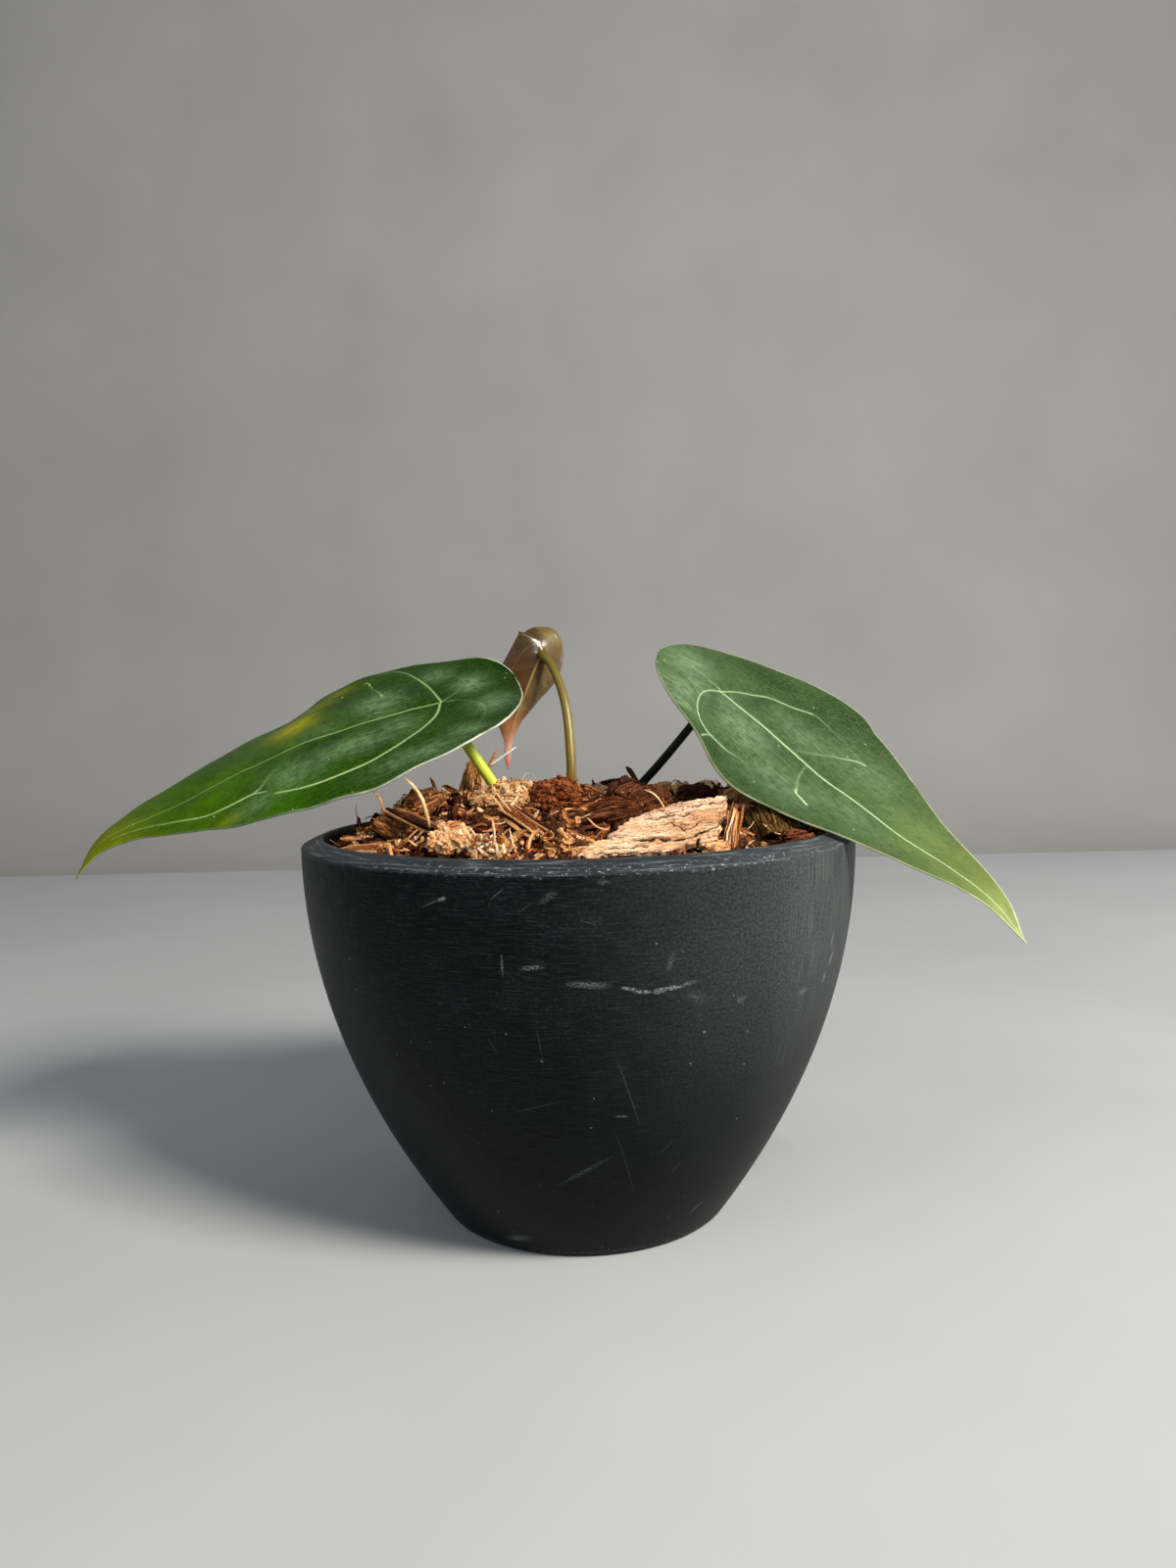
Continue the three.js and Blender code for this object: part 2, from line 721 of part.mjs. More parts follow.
// Whole plant
const petioleRooms = [PETIOLE_LEFT, PETIOLE_RIGHT, PETIOLE_NEW].map(petioleRoom);
const room = potRoom();
const pieces = chipPieces();

const plant = new THREE.Group();
plant.add(
  makeBlade('leaf_blade_left', LEAF_LEFT, COLOURS.leafLeft),
  makeBlade('leaf_blade_right', LEAF_RIGHT, COLOURS.leafRight),
  makeBlade('leaf_blade_new', LEAF_NEW, COLOURS.leafNew),
  makePetiole('petiole_left', PETIOLE_LEFT, LEAF_LEFT, COLOURS.petioleLeft),
  makePetiole('petiole_right', PETIOLE_RIGHT, LEAF_RIGHT, COLOURS.petioleRight),
  makePetiole('petiole_new', PETIOLE_NEW, LEAF_NEW, COLOURS.petioleNew),
  makeCrown(petioleRooms),
);

const filling = new THREE.Group();
filling.add(
  makeMix([...petioleRooms, crownSolid(GAP), ...pieces.map(roomFor)], room),
  ...makeChips(pieces, petioleRooms, room),
);

const pottedAnthurium = new THREE.Group();
pottedAnthurium.add(makePot(), filling, plant);

export default pottedAnthurium;
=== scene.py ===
import math
import random

import bmesh
import bpy
import numpy
from mathutils import Matrix, Quaternion, Vector, noise
from mathutils.bvhtree import BVHTree


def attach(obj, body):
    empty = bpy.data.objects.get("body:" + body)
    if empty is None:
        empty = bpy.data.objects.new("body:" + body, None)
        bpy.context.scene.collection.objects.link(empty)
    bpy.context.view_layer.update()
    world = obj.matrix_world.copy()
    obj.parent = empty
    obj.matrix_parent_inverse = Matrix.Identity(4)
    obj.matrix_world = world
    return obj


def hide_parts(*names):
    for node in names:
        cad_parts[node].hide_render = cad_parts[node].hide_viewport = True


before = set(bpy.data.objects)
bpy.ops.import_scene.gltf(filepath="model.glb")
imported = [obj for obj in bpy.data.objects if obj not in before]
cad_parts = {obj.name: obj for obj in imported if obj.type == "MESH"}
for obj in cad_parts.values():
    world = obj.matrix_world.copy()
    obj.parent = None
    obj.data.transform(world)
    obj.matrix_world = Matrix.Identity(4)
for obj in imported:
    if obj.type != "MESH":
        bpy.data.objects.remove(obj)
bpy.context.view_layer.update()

MM = 0.001
scene = bpy.context.scene

# Values, in millimetres

FOOT_RADIUS = 33.5
BRIM_RADIUS = 65
BRIM_HEIGHT = 88.4
WALL_BULGE = 2.03
POT_FLOOR = 4
FOOT_WALL = 3
BRIM_WALL = 5
DRAIN_RING = 19
DRAIN_RADIUS = 4
DRAIN_HOLES = 4
BRIM_TOP = 91.6
CLEAR_REACH = 59.3

BLADE_WAVES = 3
BLADE_WAVE_SHIFT = 2
RIB_STEPS = 500
RAISED_AT = 0.178
RAISED_REACH = 0.113

LEFT_BLADE = {
    "rib": [(-13.7, 6.5, 125), (-29.5, 3.9, 121.7), (-58, -0.8, 114.5), (-90, -7, 100),
            (-107.6, -17, 90.7), (-112.2, -21, 83.4)],
    "facing": (0, 0, 1),
    "half_width": 28, "widest_at": 0.34, "base": 2.5, "shoulder": 1.93, "taper": 1.44,
    "turning": (-24, -26, -23, -11), "cup": (-0.07, 0.15, 0.06), "ripple": 0.5,
    "right_half": (1, 1), "left_half": (1, 1), "tip_half": ((0, 1), (1, 1)), "left_raise": 0,
}
RIGHT_BLADE = {
    "rib": [(21, 2.3, 132.5), (41.3, -2.5, 116.3), (56.4, -10.4, 101.8), (73.3, -19.4, 88),
            (89.8, -27.6, 75.2), (95.7, -32.6, 66)],
    "facing": (0, 0, 1),
    "half_width": 26.2, "widest_at": 0.39, "base": 1.96, "shoulder": 1.33, "taper": 1.22,
    "turning": (25, 24, 17, 13), "cup": (0, -0.12, -0.16), "ripple": 0.4,
    "right_half": (1, 1), "left_half": (1, 1), "tip_half": ((0, 1), (1, 1)), "left_raise": 0,
}
NEW_BLADE = {
    "rib": [(-10.2, 24, 139.9), (-8.4, 21, 136.8), (-9.1, 19.5, 132.3), (-11.4, 19, 126.9),
            (-13.5, 19, 121.8), (-16.6, 19, 113.6), (-17.9, 18, 103.4)],
    "facing": (-0.35, 1, 0),
    "half_width": 7.9, "widest_at": 0.4, "base": 2, "shoulder": 1.5, "taper": 1.44,
    "turning": (0, 0, 0, 0), "cup": (-0.1, -0.5, -0.5), "ripple": 0,
    "right_half": (1, 1, 0.92, 0.68, 0.45, 0.45, 0.6), "left_half": (1.56, 0.84, 0.92, 1, 1, 1, 1),
    "tip_half": ((0.7, 0.76, 0.82, 0.86, 0.91, 0.96, 1), (1, 0.8, 0.62, 0.7, 1.15, 1.9, 2.5)),
    "left_raise": 2.45,
}

LEFT_STALK = [(-8.5, 4.6, 86), (-15.5, 4.3, 93.5), (-21.8, 4, 102.8), (-27.5, 3.8, 112),
              (-32.4, 3.5, 121.8)]
RIGHT_STALK = [(-1.5, 4.4, 86), (7, 2.6, 92.8), (16, 1, 100.9), (25.9, 0.2, 112),
               (34.5, -0.4, 122.7)]
NEW_STALK = [(-4.6, 6, 86.4), (-2.6, 6, 94), (-1.5, 6.2, 101.5), (-1.6, 8, 109),
             (-2.4, 11, 118.3), (-4, 14, 125), (-6.2, 16.5, 130), (-8.2, 18.6, 132.4),
             (-9.6, 20.8, 133)]


# Shader helpers

def shade(code):
    """A colour as linear red, green, blue and alpha from its sRGB hex value."""
    parts = [int(code[i:i + 2], 16) / 255 for i in (0, 2, 4)]
    linear = [p / 12.92 if p <= 0.04045 else ((p + 0.055) / 1.055) ** 2.4 for p in parts]
    return (*linear, 1)


# Plain names for the nodes that are used most, each with its setting
PLAIN_NAMES = {
    "times": ("Math", {"operation": "MULTIPLY"}),
    "times_plus": ("Math", {"operation": "MULTIPLY_ADD"}),
    "plus": ("Math", {"operation": "ADD"}),
    "minus": ("Math", {"operation": "SUBTRACT"}),
    "larger": ("Math", {"operation": "MAXIMUM"}),
    "unsigned": ("Math", {"operation": "ABSOLUTE"}),
    "below": ("Math", {"operation": "LESS_THAN"}),
    "bearing": ("Math", {"operation": "ARCTAN2"}),
    "step": ("MapRange", {"interpolation_type": "SMOOTHSTEP"}),
    "blend": ("Mix", {"data_type": "RGBA"}),
}


def add(tree, kind, *values, stops=(), **named):
    """Adds a node. The values fill its open sockets in order. A name with a capital is a
    socket too, with underscores for its spaces, and any other name is a setting. A value is
    a number, a colour, an output, or a node, which stands for its first open output."""
    kind, ready = PLAIN_NAMES.get(kind, (kind, {}))
    node = tree.nodes.new("ShaderNode" + kind)
    pairs = []
    for name, value in {**ready, **named}.items():
        if name[0].isupper():
            pairs.append((node.inputs[name.replace("_", " ")], value))
        else:
            setattr(node, name, value)
    pairs += zip([socket for socket in node.inputs if socket.enabled], values)
    for socket, value in pairs:
        if isinstance(value, bpy.types.Node):
            value = next(output for output in value.outputs if output.enabled)
        if isinstance(value, bpy.types.NodeSocket):
            tree.links.new(value, socket)
        else:
            socket.default_value = value
    for i, (place, code) in enumerate(stops):
        ramp = node.color_ramp.elements
        element = ramp[i] if i < 2 else ramp.new(place)
        element.position = place
        element.color = shade(code)
    return node


def new_material(name):
    material = bpy.data.materials.new(name)
    material.use_nodes = True
    material.node_tree.nodes.clear()
    return material, material.node_tree


def parts_of(tree, name):
    """The three numbers that a piece keeps for each of its points under a name."""
    kept = add(tree, "Attribute", attribute_name=name)
    return add(tree, "SeparateXYZ", kept.outputs["Vector"]).outputs


# Materials

def oval(tree, plane, x, y, long, wide, turn=0.0):
    """1 at the middle of an oval on a flattened plane, falling to 0 at its edge."""
    local = add(tree, "Mapping", plane, Location=(x, y, 0), Rotation=(0, 0, turn),
                Scale=(long, wide, 1), vector_type="TEXTURE")
    return add(tree, "TexGradient", local, gradient_type="SPHERICAL").outputs["Fac"]


# Marks on the pot's wall, as place around and up it in mm, half length, half width and
# slant in degrees, and strength. Scuffs are broken up into chalky patches, scratches aren't.
WALL_SCUFFS = [
    (8.9, 65.9, 1.7, 0.45, -12, 1.0), (11.4, 65.1, 2.1, 0.5, -6, 1.0),
    (14.6, 65.0, 1.5, 0.7, 8, 1.0), (17.0, 65.4, 2.4, 0.55, 3, 1.0), (20, 65.9, 2.4, 0.6, 14, 0.4),
    (1.6, 67.0, 4.8, 0.9, -4, 0.4), (-8.3, 70.5, 2.7, 0.55, 6, 0.55), (-13.7, 71, 0.3, 2.4, 0, 0.6),
    (-24.4, 83.3, 1.0, 0.55, 20, 1.0), (59.6, 60.5, 0.7, 1.7, -20, 0.8),
    (61.5, 64, 0.7, 2.4, -30, 0.75), (60.5, 68.5, 0.8, 2.6, -10, 0.35),
    (50.5, 59.2, 2.2, 1.0, 0, 0.25), (31.9, 61, 1.1, 1.1, 0, 0.2), (4.6, 86.6, 1.5, 0.7, 0, 0.2),
    (0, 25.5, 9.3, 0.75, 28, 0.17), (-25, 4.6, 7, 1.3, 8, 0.35), (38, 10, 3.5, 0.8, 30, 0.3),
    (16.5, 70.5, 0.8, 2.4, -15, 0.2), (-5, 84, 2.5, 0.9, 35, 0.17), (22, 63, 3.5, 1.6, -20, 0.14),
]
WALL_SCRATCHES = [
    (9.6, 43.9, 10.6, 0.14, -70, 0.3), (9.9, 27.5, 11.8, 0.12, -69, 0.2),
    (-17, 54, 2.6, 0.14, -67, 0.22), (-7.8, 55, 5.2, 0.12, -84, 0.2),
    (8.3, 38.6, 1.8, 0.2, -4, 0.7), (-26.7, 82.4, 2.6, 0.2, 24, 0.5),
    (-10, 41, 8, 0.12, 16, 0.22), (20, 30, 3, 0.12, 48, 0.25), (24, 24, 2, 0.14, 60, 0.3),
    (-14, 84.5, 2.2, 0.14, 42, 0.35), (-9, 82, 1.7, 0.14, 35, 0.3), (2, 79, 2.4, 0.12, 160, 0.25),
    (31.3, 61.2, 0.7, 0.16, -65, 0.6), (32.7, 61.2, 0.7, 0.16, 65, 0.6),
    (-7.6, 51.4, 0.35, 0.35, 0, 0.9), (-30, 44.8, 0.3, 0.3, 0, 0.8), (1.7, 36.3, 0.4, 0.3, 0, 0.7),
    (24.4, 55.4, 0.45, 0.35, 0, 0.9), (35, 53.8, 0.45, 0.35, 0, 0.9),
]


def pot_plastic():
    """Moulded polypropylene, black with a little green, turned smooth and then handled for
    years: satin, dusty grey on its right and partly a painted reflection there, painted
    reflections in fine upright streaks at both side edges, brushed level at the middle, with
    hairline scratches, chalky scuffs, a brim whose band is greyer with painted highlight
    streaks, and painted shade that darkens it towards the foot."""
    material, tree = new_material("moulded_polypropylene")
    place = add(tree, "TexCoord").outputs["Object"]
    parts = add(tree, "SeparateXYZ", place).outputs
    forward = add(tree, "times", parts[1], -1.0)
    angle = add(tree, "bearing", parts[0], forward)
    around = add(tree, "times", angle, 60.0)
    height = add(tree, "times", parts[2], 1000.0)
    wall = add(tree, "CombineXYZ", around, height)

    upright = add(tree, "TexNoise", add(tree, "Mapping", wall, Scale=(3.6, 0.1, 1)), 1.0, 5, 0.65)
    level = add(tree, "TexNoise", add(tree, "Mapping", wall, Scale=(0.2, 4.2, 1)), 1.0, 5, 0.65)
    patches = add(tree, "TexNoise", wall, 0.06, 4, 0.55)
    grains = add(tree, "TexNoise", wall, 1.7, 6, 0.75)
    # Wear and the painted reflections fade out towards the back, where both ends of the unrolled
    # wall meet
    wear_and_reflection_fade = add(tree, "step", add(tree, "unsigned", angle), 2.7, 1.7)
    right_side = add(tree, "times", add(tree, "step", angle, -0.15, 1.0), wear_and_reflection_fade)
    far_right = add(tree, "times", add(tree, "step", angle, 0.6, 0.85), wear_and_reflection_fade)
    far_left = add(tree, "times", add(tree, "step", angle, -0.6, -1.1, 0.0, 0.45), wear_and_reflection_fade)
    upper = add(tree, "step", height, 12.0, 74.0)

    colour = add(tree, "ValToRGB", patches, stops=[(0.35, "050709"), (0.65, "0d1013")])
    # Dust, and a painted reflection of the light: speckled grey over the right side, stronger
    # higher up
    dust_and_reflection = add(tree, "times", right_side, add(tree, "times_plus", upper, 0.75, 0.25))
    dust_and_reflection = add(tree, "times", dust_and_reflection, add(tree, "step", grains, 0.36, 0.66, 0.15, 0.6))
    dust_and_reflection = add(tree, "times", dust_and_reflection, add(tree, "step", angle, 0.7, 1.2, 1.0, 0.62))
    colour = add(tree, "blend", dust_and_reflection, colour, shade("63696b"))
    # Painted reflections of the light at both side edges, broken up into fine upright streaks
    streaked_edge_reflection = add(tree, "times", add(tree, "step", upright, 0.42, 0.66),
                 add(tree, "larger", far_right, far_left))
    streaked_edge_reflection = add(tree, "times", streaked_edge_reflection, add(tree, "times_plus", upper, 0.3, 0.0))
    colour = add(tree, "blend", streaked_edge_reflection, colour, shade("7c7e7b"))
    middle = add(tree, "times", add(tree, "step", angle, 0.9, 0.0), wear_and_reflection_fade)
    hairlines = add(tree, "times", add(tree, "step", level, 0.5, 0.7), middle)
    colour = add(tree, "blend", add(tree, "times", hairlines, 0.14), colour, shade("6a7271"))

    # A thin grey film in fine slanting rubs, where hands have held the upper half
    slanting = add(tree, "Mapping", wall, Rotation=(0, 0, 0.5), Scale=(1.3, 1.9, 1))
    handled = add(tree, "TexNoise", slanting, 1.0, 8, 0.8)
    handled = add(tree, "times", add(tree, "step", handled, 0.5, 0.7),
                  add(tree, "step", patches, 0.38, 0.62, 0.25, 1.0))
    handled = add(tree, "times", handled, add(tree, "times_plus", upper, 0.2, 0.05))
    colour = add(tree, "blend", handled, colour, shade("69716f"))
    # Painted shade: the wall darkens towards the foot
    colour = add(tree, "blend", add(tree, "step", height, 75.0, 5.0, 0.0, 0.7), colour,
                 shade("000102"))

    scuffs = 0.0
    for x, z, long, wide, turn, strength in WALL_SCUFFS:
        spot = oval(tree, wall, x, z, long, wide, math.radians(turn))
        scuffs = add(tree, "larger", add(tree, "times", spot, strength * 1.7, use_clamp=True),
                     scuffs)
    chalk = add(tree, "TexNoise", add(tree, "Mapping", wall, Scale=(1.7, 3.2, 1)), 1.0, 7, 0.8)
    scuffs = add(tree, "times", add(tree, "step", chalk, 0.45, 0.58), scuffs, use_clamp=True)
    colour = add(tree, "blend", add(tree, "times", scuffs, 0.7), colour, shade("aab4b4"))
    scratches = 0.0
    for x, z, long, wide, turn, strength in WALL_SCRATCHES:
        spot = oval(tree, wall, x, z, long, wide, math.radians(turn))
        scratches = add(tree, "larger",
                        add(tree, "times", add(tree, "step", spot, 0.0, 0.6), strength), scratches)
    scratches = add(tree, "times", scratches, add(tree, "step", grains, 0.4, 0.6, 0.25, 0.75))
    colour = add(tree, "blend", scratches, colour, shade("868f8e"))

    # Dust specks, a fifth of a millimetre across
    specks = add(tree, "TexVoronoi", wall, 0.36)
    own = add(tree, "SeparateXYZ", specks.outputs["Color"]).outputs
    reach = add(tree, "step", own[0], 0.4, 1.0, 0.0, 0.07)
    speck = add(tree, "below", specks.outputs["Distance"], reach)
    colour = add(tree, "blend", add(tree, "times", speck, 0.5), colour, shade("959c9b"))

    # Brim band, greyer and with painted highlight streaks, nicked white along its crease, and the
    # worn foot
    band = add(tree, "step", height, 87.7, 88.1)
    crease = add(tree, "times", add(tree, "step", height, 87.2, 88.1),
                 add(tree, "step", height, 90.1, 88.9))
    streaks = add(tree, "TexNoise", add(tree, "Mapping", wall, Scale=(0.09, 3.2, 1)), 1.0, 5, 0.6)
    worn = add(tree, "TexNoise", add(tree, "Mapping", wall, Scale=(0.8, 2.4, 1)), 1.0, 6, 0.75)
    greyed = add(tree, "times", band, add(tree, "step", angle, -1.2, 1.0, 0.64, 0.4))
    colour = add(tree, "blend", greyed, colour, shade("363b40"))
    # Painted highlights: pale streaks along the band
    band_highlight_streaks = add(tree, "times", band, add(tree, "step", streaks, 0.5, 0.66, 0.0, 0.5))
    colour = add(tree, "blend", band_highlight_streaks, colour, shade("7d878c"))
    front = add(tree, "step", add(tree, "unsigned", add(tree, "minus", angle, 0.1)), 1.0, 0.4)
    nicks = add(tree, "times", crease, add(tree, "step", worn, 0.56, 0.64))
    nicks = add(tree, "times", nicks, add(tree, "times_plus", front, 0.8, 0.2))
    foot = add(tree, "times", add(tree, "step", height, 3.5, 1.2),
               add(tree, "step", worn, 0.55, 0.68))
    nicks = add(tree, "larger", nicks, add(tree, "times", foot, 0.45))
    colour = add(tree, "blend", add(tree, "times", nicks, 0.8), colour, shade("b4bcbf"))

    marks = add(tree, "larger", scuffs, nicks)
    gloss = add(tree, "times_plus", upright, 0.16, 0.36)
    gloss = add(tree, "times_plus", dust_and_reflection, 0.3, gloss)
    gloss = add(tree, "times_plus", marks, 0.3, gloss, use_clamp=True)
    relief = add(tree, "plus", add(tree, "times", upright, 0.5), add(tree, "times", grains, 0.5))
    relief = add(tree, "plus", relief, add(tree, "times", marks, 0.5))
    add(tree, "OutputMaterial", add(tree, "BsdfPrincipled", Base_Color=colour, Roughness=gloss,
                                    IOR=1.49, Specular_IOR_Level=0.09,
                                    Normal=add(tree, "Bump", Height=relief, Distance=0.00005,
                                               Strength=0.7)))
    return material


def leaf_skin(name, ramp, painted_sheen_colour, ripe, deep, vein, net, rim, rough, streak, shine=0.3, sheen=0.0):
    """The upper skin of a grown blade. ramp colours it from base to tip. The colour after
    ramp paints a grey sheen, reflected light painted where the blade's tints put it; ripe
    is its yellowing and deep its darkest green, partly painted shade, each where the
    tints put them. vein and net colour its drawn veins and the fine mesh between them,
    rim its thin clear margin."""
    material, tree = new_material(name)
    place = add(tree, "Attribute", attribute_name="blade_place").outputs["Vector"]
    shares = parts_of(tree, "blade_share")
    mark = parts_of(tree, "blade_marks")
    tint = parts_of(tree, "blade_tints")

    colour = add(tree, "ValToRGB", shares[1], stops=ramp)
    clouds = add(tree, "TexNoise", place, 0.075, 4, 0.5)
    broad = add(tree, "Mapping", place, Rotation=(0, 0, streak), Scale=(0.3, 0.16, 1))
    patches = add(tree, "TexNoise", broad, 1.0, 5, 0.6)
    slanted = add(tree, "Mapping", place, Rotation=(0, 0, streak), Scale=(1.9, 0.2, 1))
    streaks = add(tree, "TexNoise", slanted, 1.0, 5, 0.65)
    mottle = add(tree, "TexNoise", place, 0.45, 6, 0.7)
    colour = add(tree, "blend", add(tree, "step", clouds, 0.35, 0.6, 0.0, 0.45), colour,
                 shade(deep))
    colour = add(tree, "blend", add(tree, "step", mottle, 0.52, 0.36, 0.0, 0.3), colour,
                 shade(deep))
    # Darkest green, partly painted shade between the veins, where the tints put it
    darkest = add(tree, "times", tint[2], add(tree, "step", patches, 0.2, 0.6, 0.4, 1.0))
    colour = add(tree, "blend", darkest, colour, shade(deep))
    yellowed = add(tree, "times", tint[1], add(tree, "step", patches, 0.3, 0.6, 0.5, 1.0))
    colour = add(tree, "blend", yellowed, colour, shade(ripe))
    # Painted sheen: reflected light painted grey in streaky patches where the tints put it
    painted_sheen_share = add(tree, "times", tint[0], add(tree, "step", streaks, 0.3, 0.7, 0.25, 1.0))
    painted_sheen_share = add(tree, "times", painted_sheen_share, add(tree, "step", mottle, 0.35, 0.6, 0.4, 1.0))
    colour = add(tree, "blend", painted_sheen_share, colour, shade(painted_sheen_colour))
    colour = add(tree, "blend", add(tree, "step", streaks, 0.45, 0.75, 0.0, 0.14), colour,
                 shade(net))

    wider = add(tree, "Mapping", place, Rotation=(0, 0, streak), Scale=(1, 0.75, 1))
    cells = add(tree, "TexVoronoi", wider, 0.9, feature="DISTANCE_TO_EDGE")
    mesh = add(tree, "step", cells, 0.09, 0.02)
    colour = add(tree, "blend", add(tree, "times", mesh, 0.12), colour, shade(net))
    colour = add(tree, "blend", add(tree, "times", mark[1], 0.22), colour, shade(net))

    # Veins, a little broken along their length
    broken = add(tree, "TexNoise", place, 0.9, 3, 0.55)
    lines = add(tree, "times", mark[0], add(tree, "step", broken, 0.25, 0.5, 0.6, 1.0))
    colour = add(tree, "blend", lines, colour, shade(vein))
    colour = add(tree, "blend", mark[2], colour, shade(rim))

    # Dried water drops and dust, white specks up to a third of a millimetre across
    specks = add(tree, "TexVoronoi", place, 0.42)
    size = add(tree, "SeparateXYZ", specks.outputs["Color"]).outputs
    small = add(tree, "step", size[0], 0.55, 1.0, 0.0, 0.09)
    speck = add(tree, "below", specks.outputs["Distance"], small)
    colour = add(tree, "blend", add(tree, "times", speck, 0.55), colour, shade("dfe6d8"))

    relief = add(tree, "plus", add(tree, "times", mesh, -0.5), streaks)
    gloss = add(tree, "times_plus", streaks, 0.2, rough - 0.1)
    gloss = add(tree, "times_plus", painted_sheen_share, 0.12, gloss)
    add(tree, "OutputMaterial", add(tree, "BsdfPrincipled", Base_Color=colour, Roughness=gloss,
                                    IOR=1.45, Specular_IOR_Level=shine, Subsurface_Weight=0.06,
                                    Subsurface_Radius=(0.6, 1.0, 0.25), Subsurface_Scale=0.001,
                                    Sheen_Weight=sheen, Sheen_Roughness=0.5,
                                    Normal=add(tree, "Bump", Height=relief, Distance=0.00009,
                                               Strength=0.8)))
    return material


def leaf_underside(name, flesh, vein, thin=None, rough=0.5, shine=0.5, glow=0.0, mesh_share=0.15):
    """The under skin of a blade: paler and duller than the upper one, with raised veins.
    thin colours the parts that let more light through; it is also painted light, lightening the
    side and lobe that face the light."""
    material, tree = new_material(name)
    place = add(tree, "Attribute", attribute_name="blade_place").outputs["Vector"]
    along = parts_of(tree, "blade_share")[1]
    mark = parts_of(tree, "blade_marks")
    colour = add(tree, "ValToRGB", along, stops=flesh)
    clouds = add(tree, "TexNoise", place, 0.12, 4, 0.55)
    if thin:
        tint = parts_of(tree, "blade_tints")
        # Lighter where the tints mark thinner parts, partly painted light on the side facing the
        # light
        colour = add(tree, "blend", tint[0], colour, shade(thin))
    colour = add(tree, "blend", add(tree, "step", clouds, 0.3, 0.7, 0.0, 0.35), colour,
                 add(tree, "blend", 0.4, colour, shade("1c2a10")))
    cells = add(tree, "TexVoronoi", place, 0.75, feature="DISTANCE_TO_EDGE")
    mesh = add(tree, "step", cells, 0.1, 0.02)
    colour = add(tree, "blend", add(tree, "times", mesh, mesh_share), colour, shade(vein))
    lines = add(tree, "larger", mark[0], add(tree, "times", mark[1], 0.5))
    colour = add(tree, "blend", add(tree, "times", lines, 0.8), colour, shade(vein))
    add(tree, "OutputMaterial", add(tree, "BsdfPrincipled", Base_Color=colour, Roughness=rough,
                                    IOR=1.45, Specular_IOR_Level=shine,
                                    Subsurface_Weight=0.1 + glow,
                                    Subsurface_Radius=(1.0, 0.7, 0.3), Subsurface_Scale=0.0015,
                                    Normal=add(tree, "Bump", Height=mesh, Distance=0.00008,
                                               Strength=mesh_share * 4)))
    return material


def stalk_skin(name, ramp, rough=0.32, shine=0.5):
    """The skin of a fleshy leaf stalk: smooth and waxy, with fine lengthwise lines and
    small pale breathing spots."""
    material, tree = new_material(name)
    place = add(tree, "Attribute", attribute_name="stalk_place").outputs["Vector"]
    parts = add(tree, "SeparateXYZ", place).outputs
    colour = add(tree, "ValToRGB", parts[2], stops=ramp)
    drawn_out = add(tree, "Mapping", place, Scale=(5.0, 0.25, 0.0))
    lines = add(tree, "TexNoise", drawn_out, 1.0, 3, 0.55)
    colour = add(tree, "blend", add(tree, "step", lines, 0.35, 0.8, 0.0, 0.4), colour,
                 add(tree, "blend", 0.5, colour, shade("f2efb0"), blend_type="SOFT_LIGHT"))
    spaced = add(tree, "Mapping", place, Scale=(1.8, 0.7, 0.0))
    spots = add(tree, "TexVoronoi", spaced, 1.0).outputs["Distance"]
    colour = add(tree, "blend", add(tree, "step", spots, 0.16, 0.1, 0.0, 0.25), colour,
                 shade("d8d79a"))
    add(tree, "OutputMaterial", add(tree, "BsdfPrincipled", Base_Color=colour, Roughness=rough,
                                    IOR=1.45, Specular_IOR_Level=shine, Subsurface_Weight=0.15,
                                    Subsurface_Radius=(1.0, 0.9, 0.3), Subsurface_Scale=0.001,
                                    Normal=add(tree, "Bump", Height=lines, Distance=0.00006,
                                               Strength=0.6)))
    return material


def husk(name, dark, middle, light, rough=0.9):
    """Chopped coconut husk: dry cork-like pith bound by long fibres, with no gloss. The
    fibres catch the light as pale lines, and the gaps between them are painted nearly
    black, as shade."""
    material, tree = new_material(name)
    grain = add(tree, "Attribute", attribute_name="grain").outputs["Vector"]
    hollow = add(tree, "Attribute", attribute_name="hollow").outputs["Fac"]
    drawn_out = add(tree, "Mapping", grain, Scale=(0.16, 3.0, 3.0))
    fibres = add(tree, "TexNoise", drawn_out, 1.0, 4, 0.6)
    crumbs = add(tree, "TexNoise", grain, 1.6, 5, 0.65)
    broad = add(tree, "TexNoise", grain, 0.22, 3, 0.55)
    own = add(tree, "Attribute", attribute_name="tone").outputs["Fac"]
    tone = add(tree, "times_plus", own, 0.16, add(tree, "times", fibres, 0.55))
    tone = add(tree, "plus", tone, add(tree, "times", crumbs, 0.45))
    colour = add(tree, "ValToRGB", tone, stops=[(0.34, dark), (0.64, light), (0.49, middle)])
    colour = add(tree, "blend", add(tree, "step", broad, 0.35, 0.7, 0.0, 0.5), colour,
                 add(tree, "blend", 0.7, colour, shade(dark), blend_type="MULTIPLY"))
    # Painted shade: darker the deeper a point lies in a groove or gap
    colour = add(tree, "blend", add(tree, "step", hollow, 0.0, 1.0, 0.0, 0.85), colour,
                 add(tree, "blend", 0.8, colour, shade(dark), blend_type="MULTIPLY"))
    relief = add(tree, "plus", fibres, add(tree, "times", crumbs, 0.8))
    add(tree, "OutputMaterial", add(tree, "BsdfPrincipled", Base_Color=colour, Roughness=rough,
                                    IOR=1.4, Specular_IOR_Level=0.25,
                                    Normal=add(tree, "Bump", Height=relief, Distance=0.00035,
                                               Strength=1.0)))
    return material


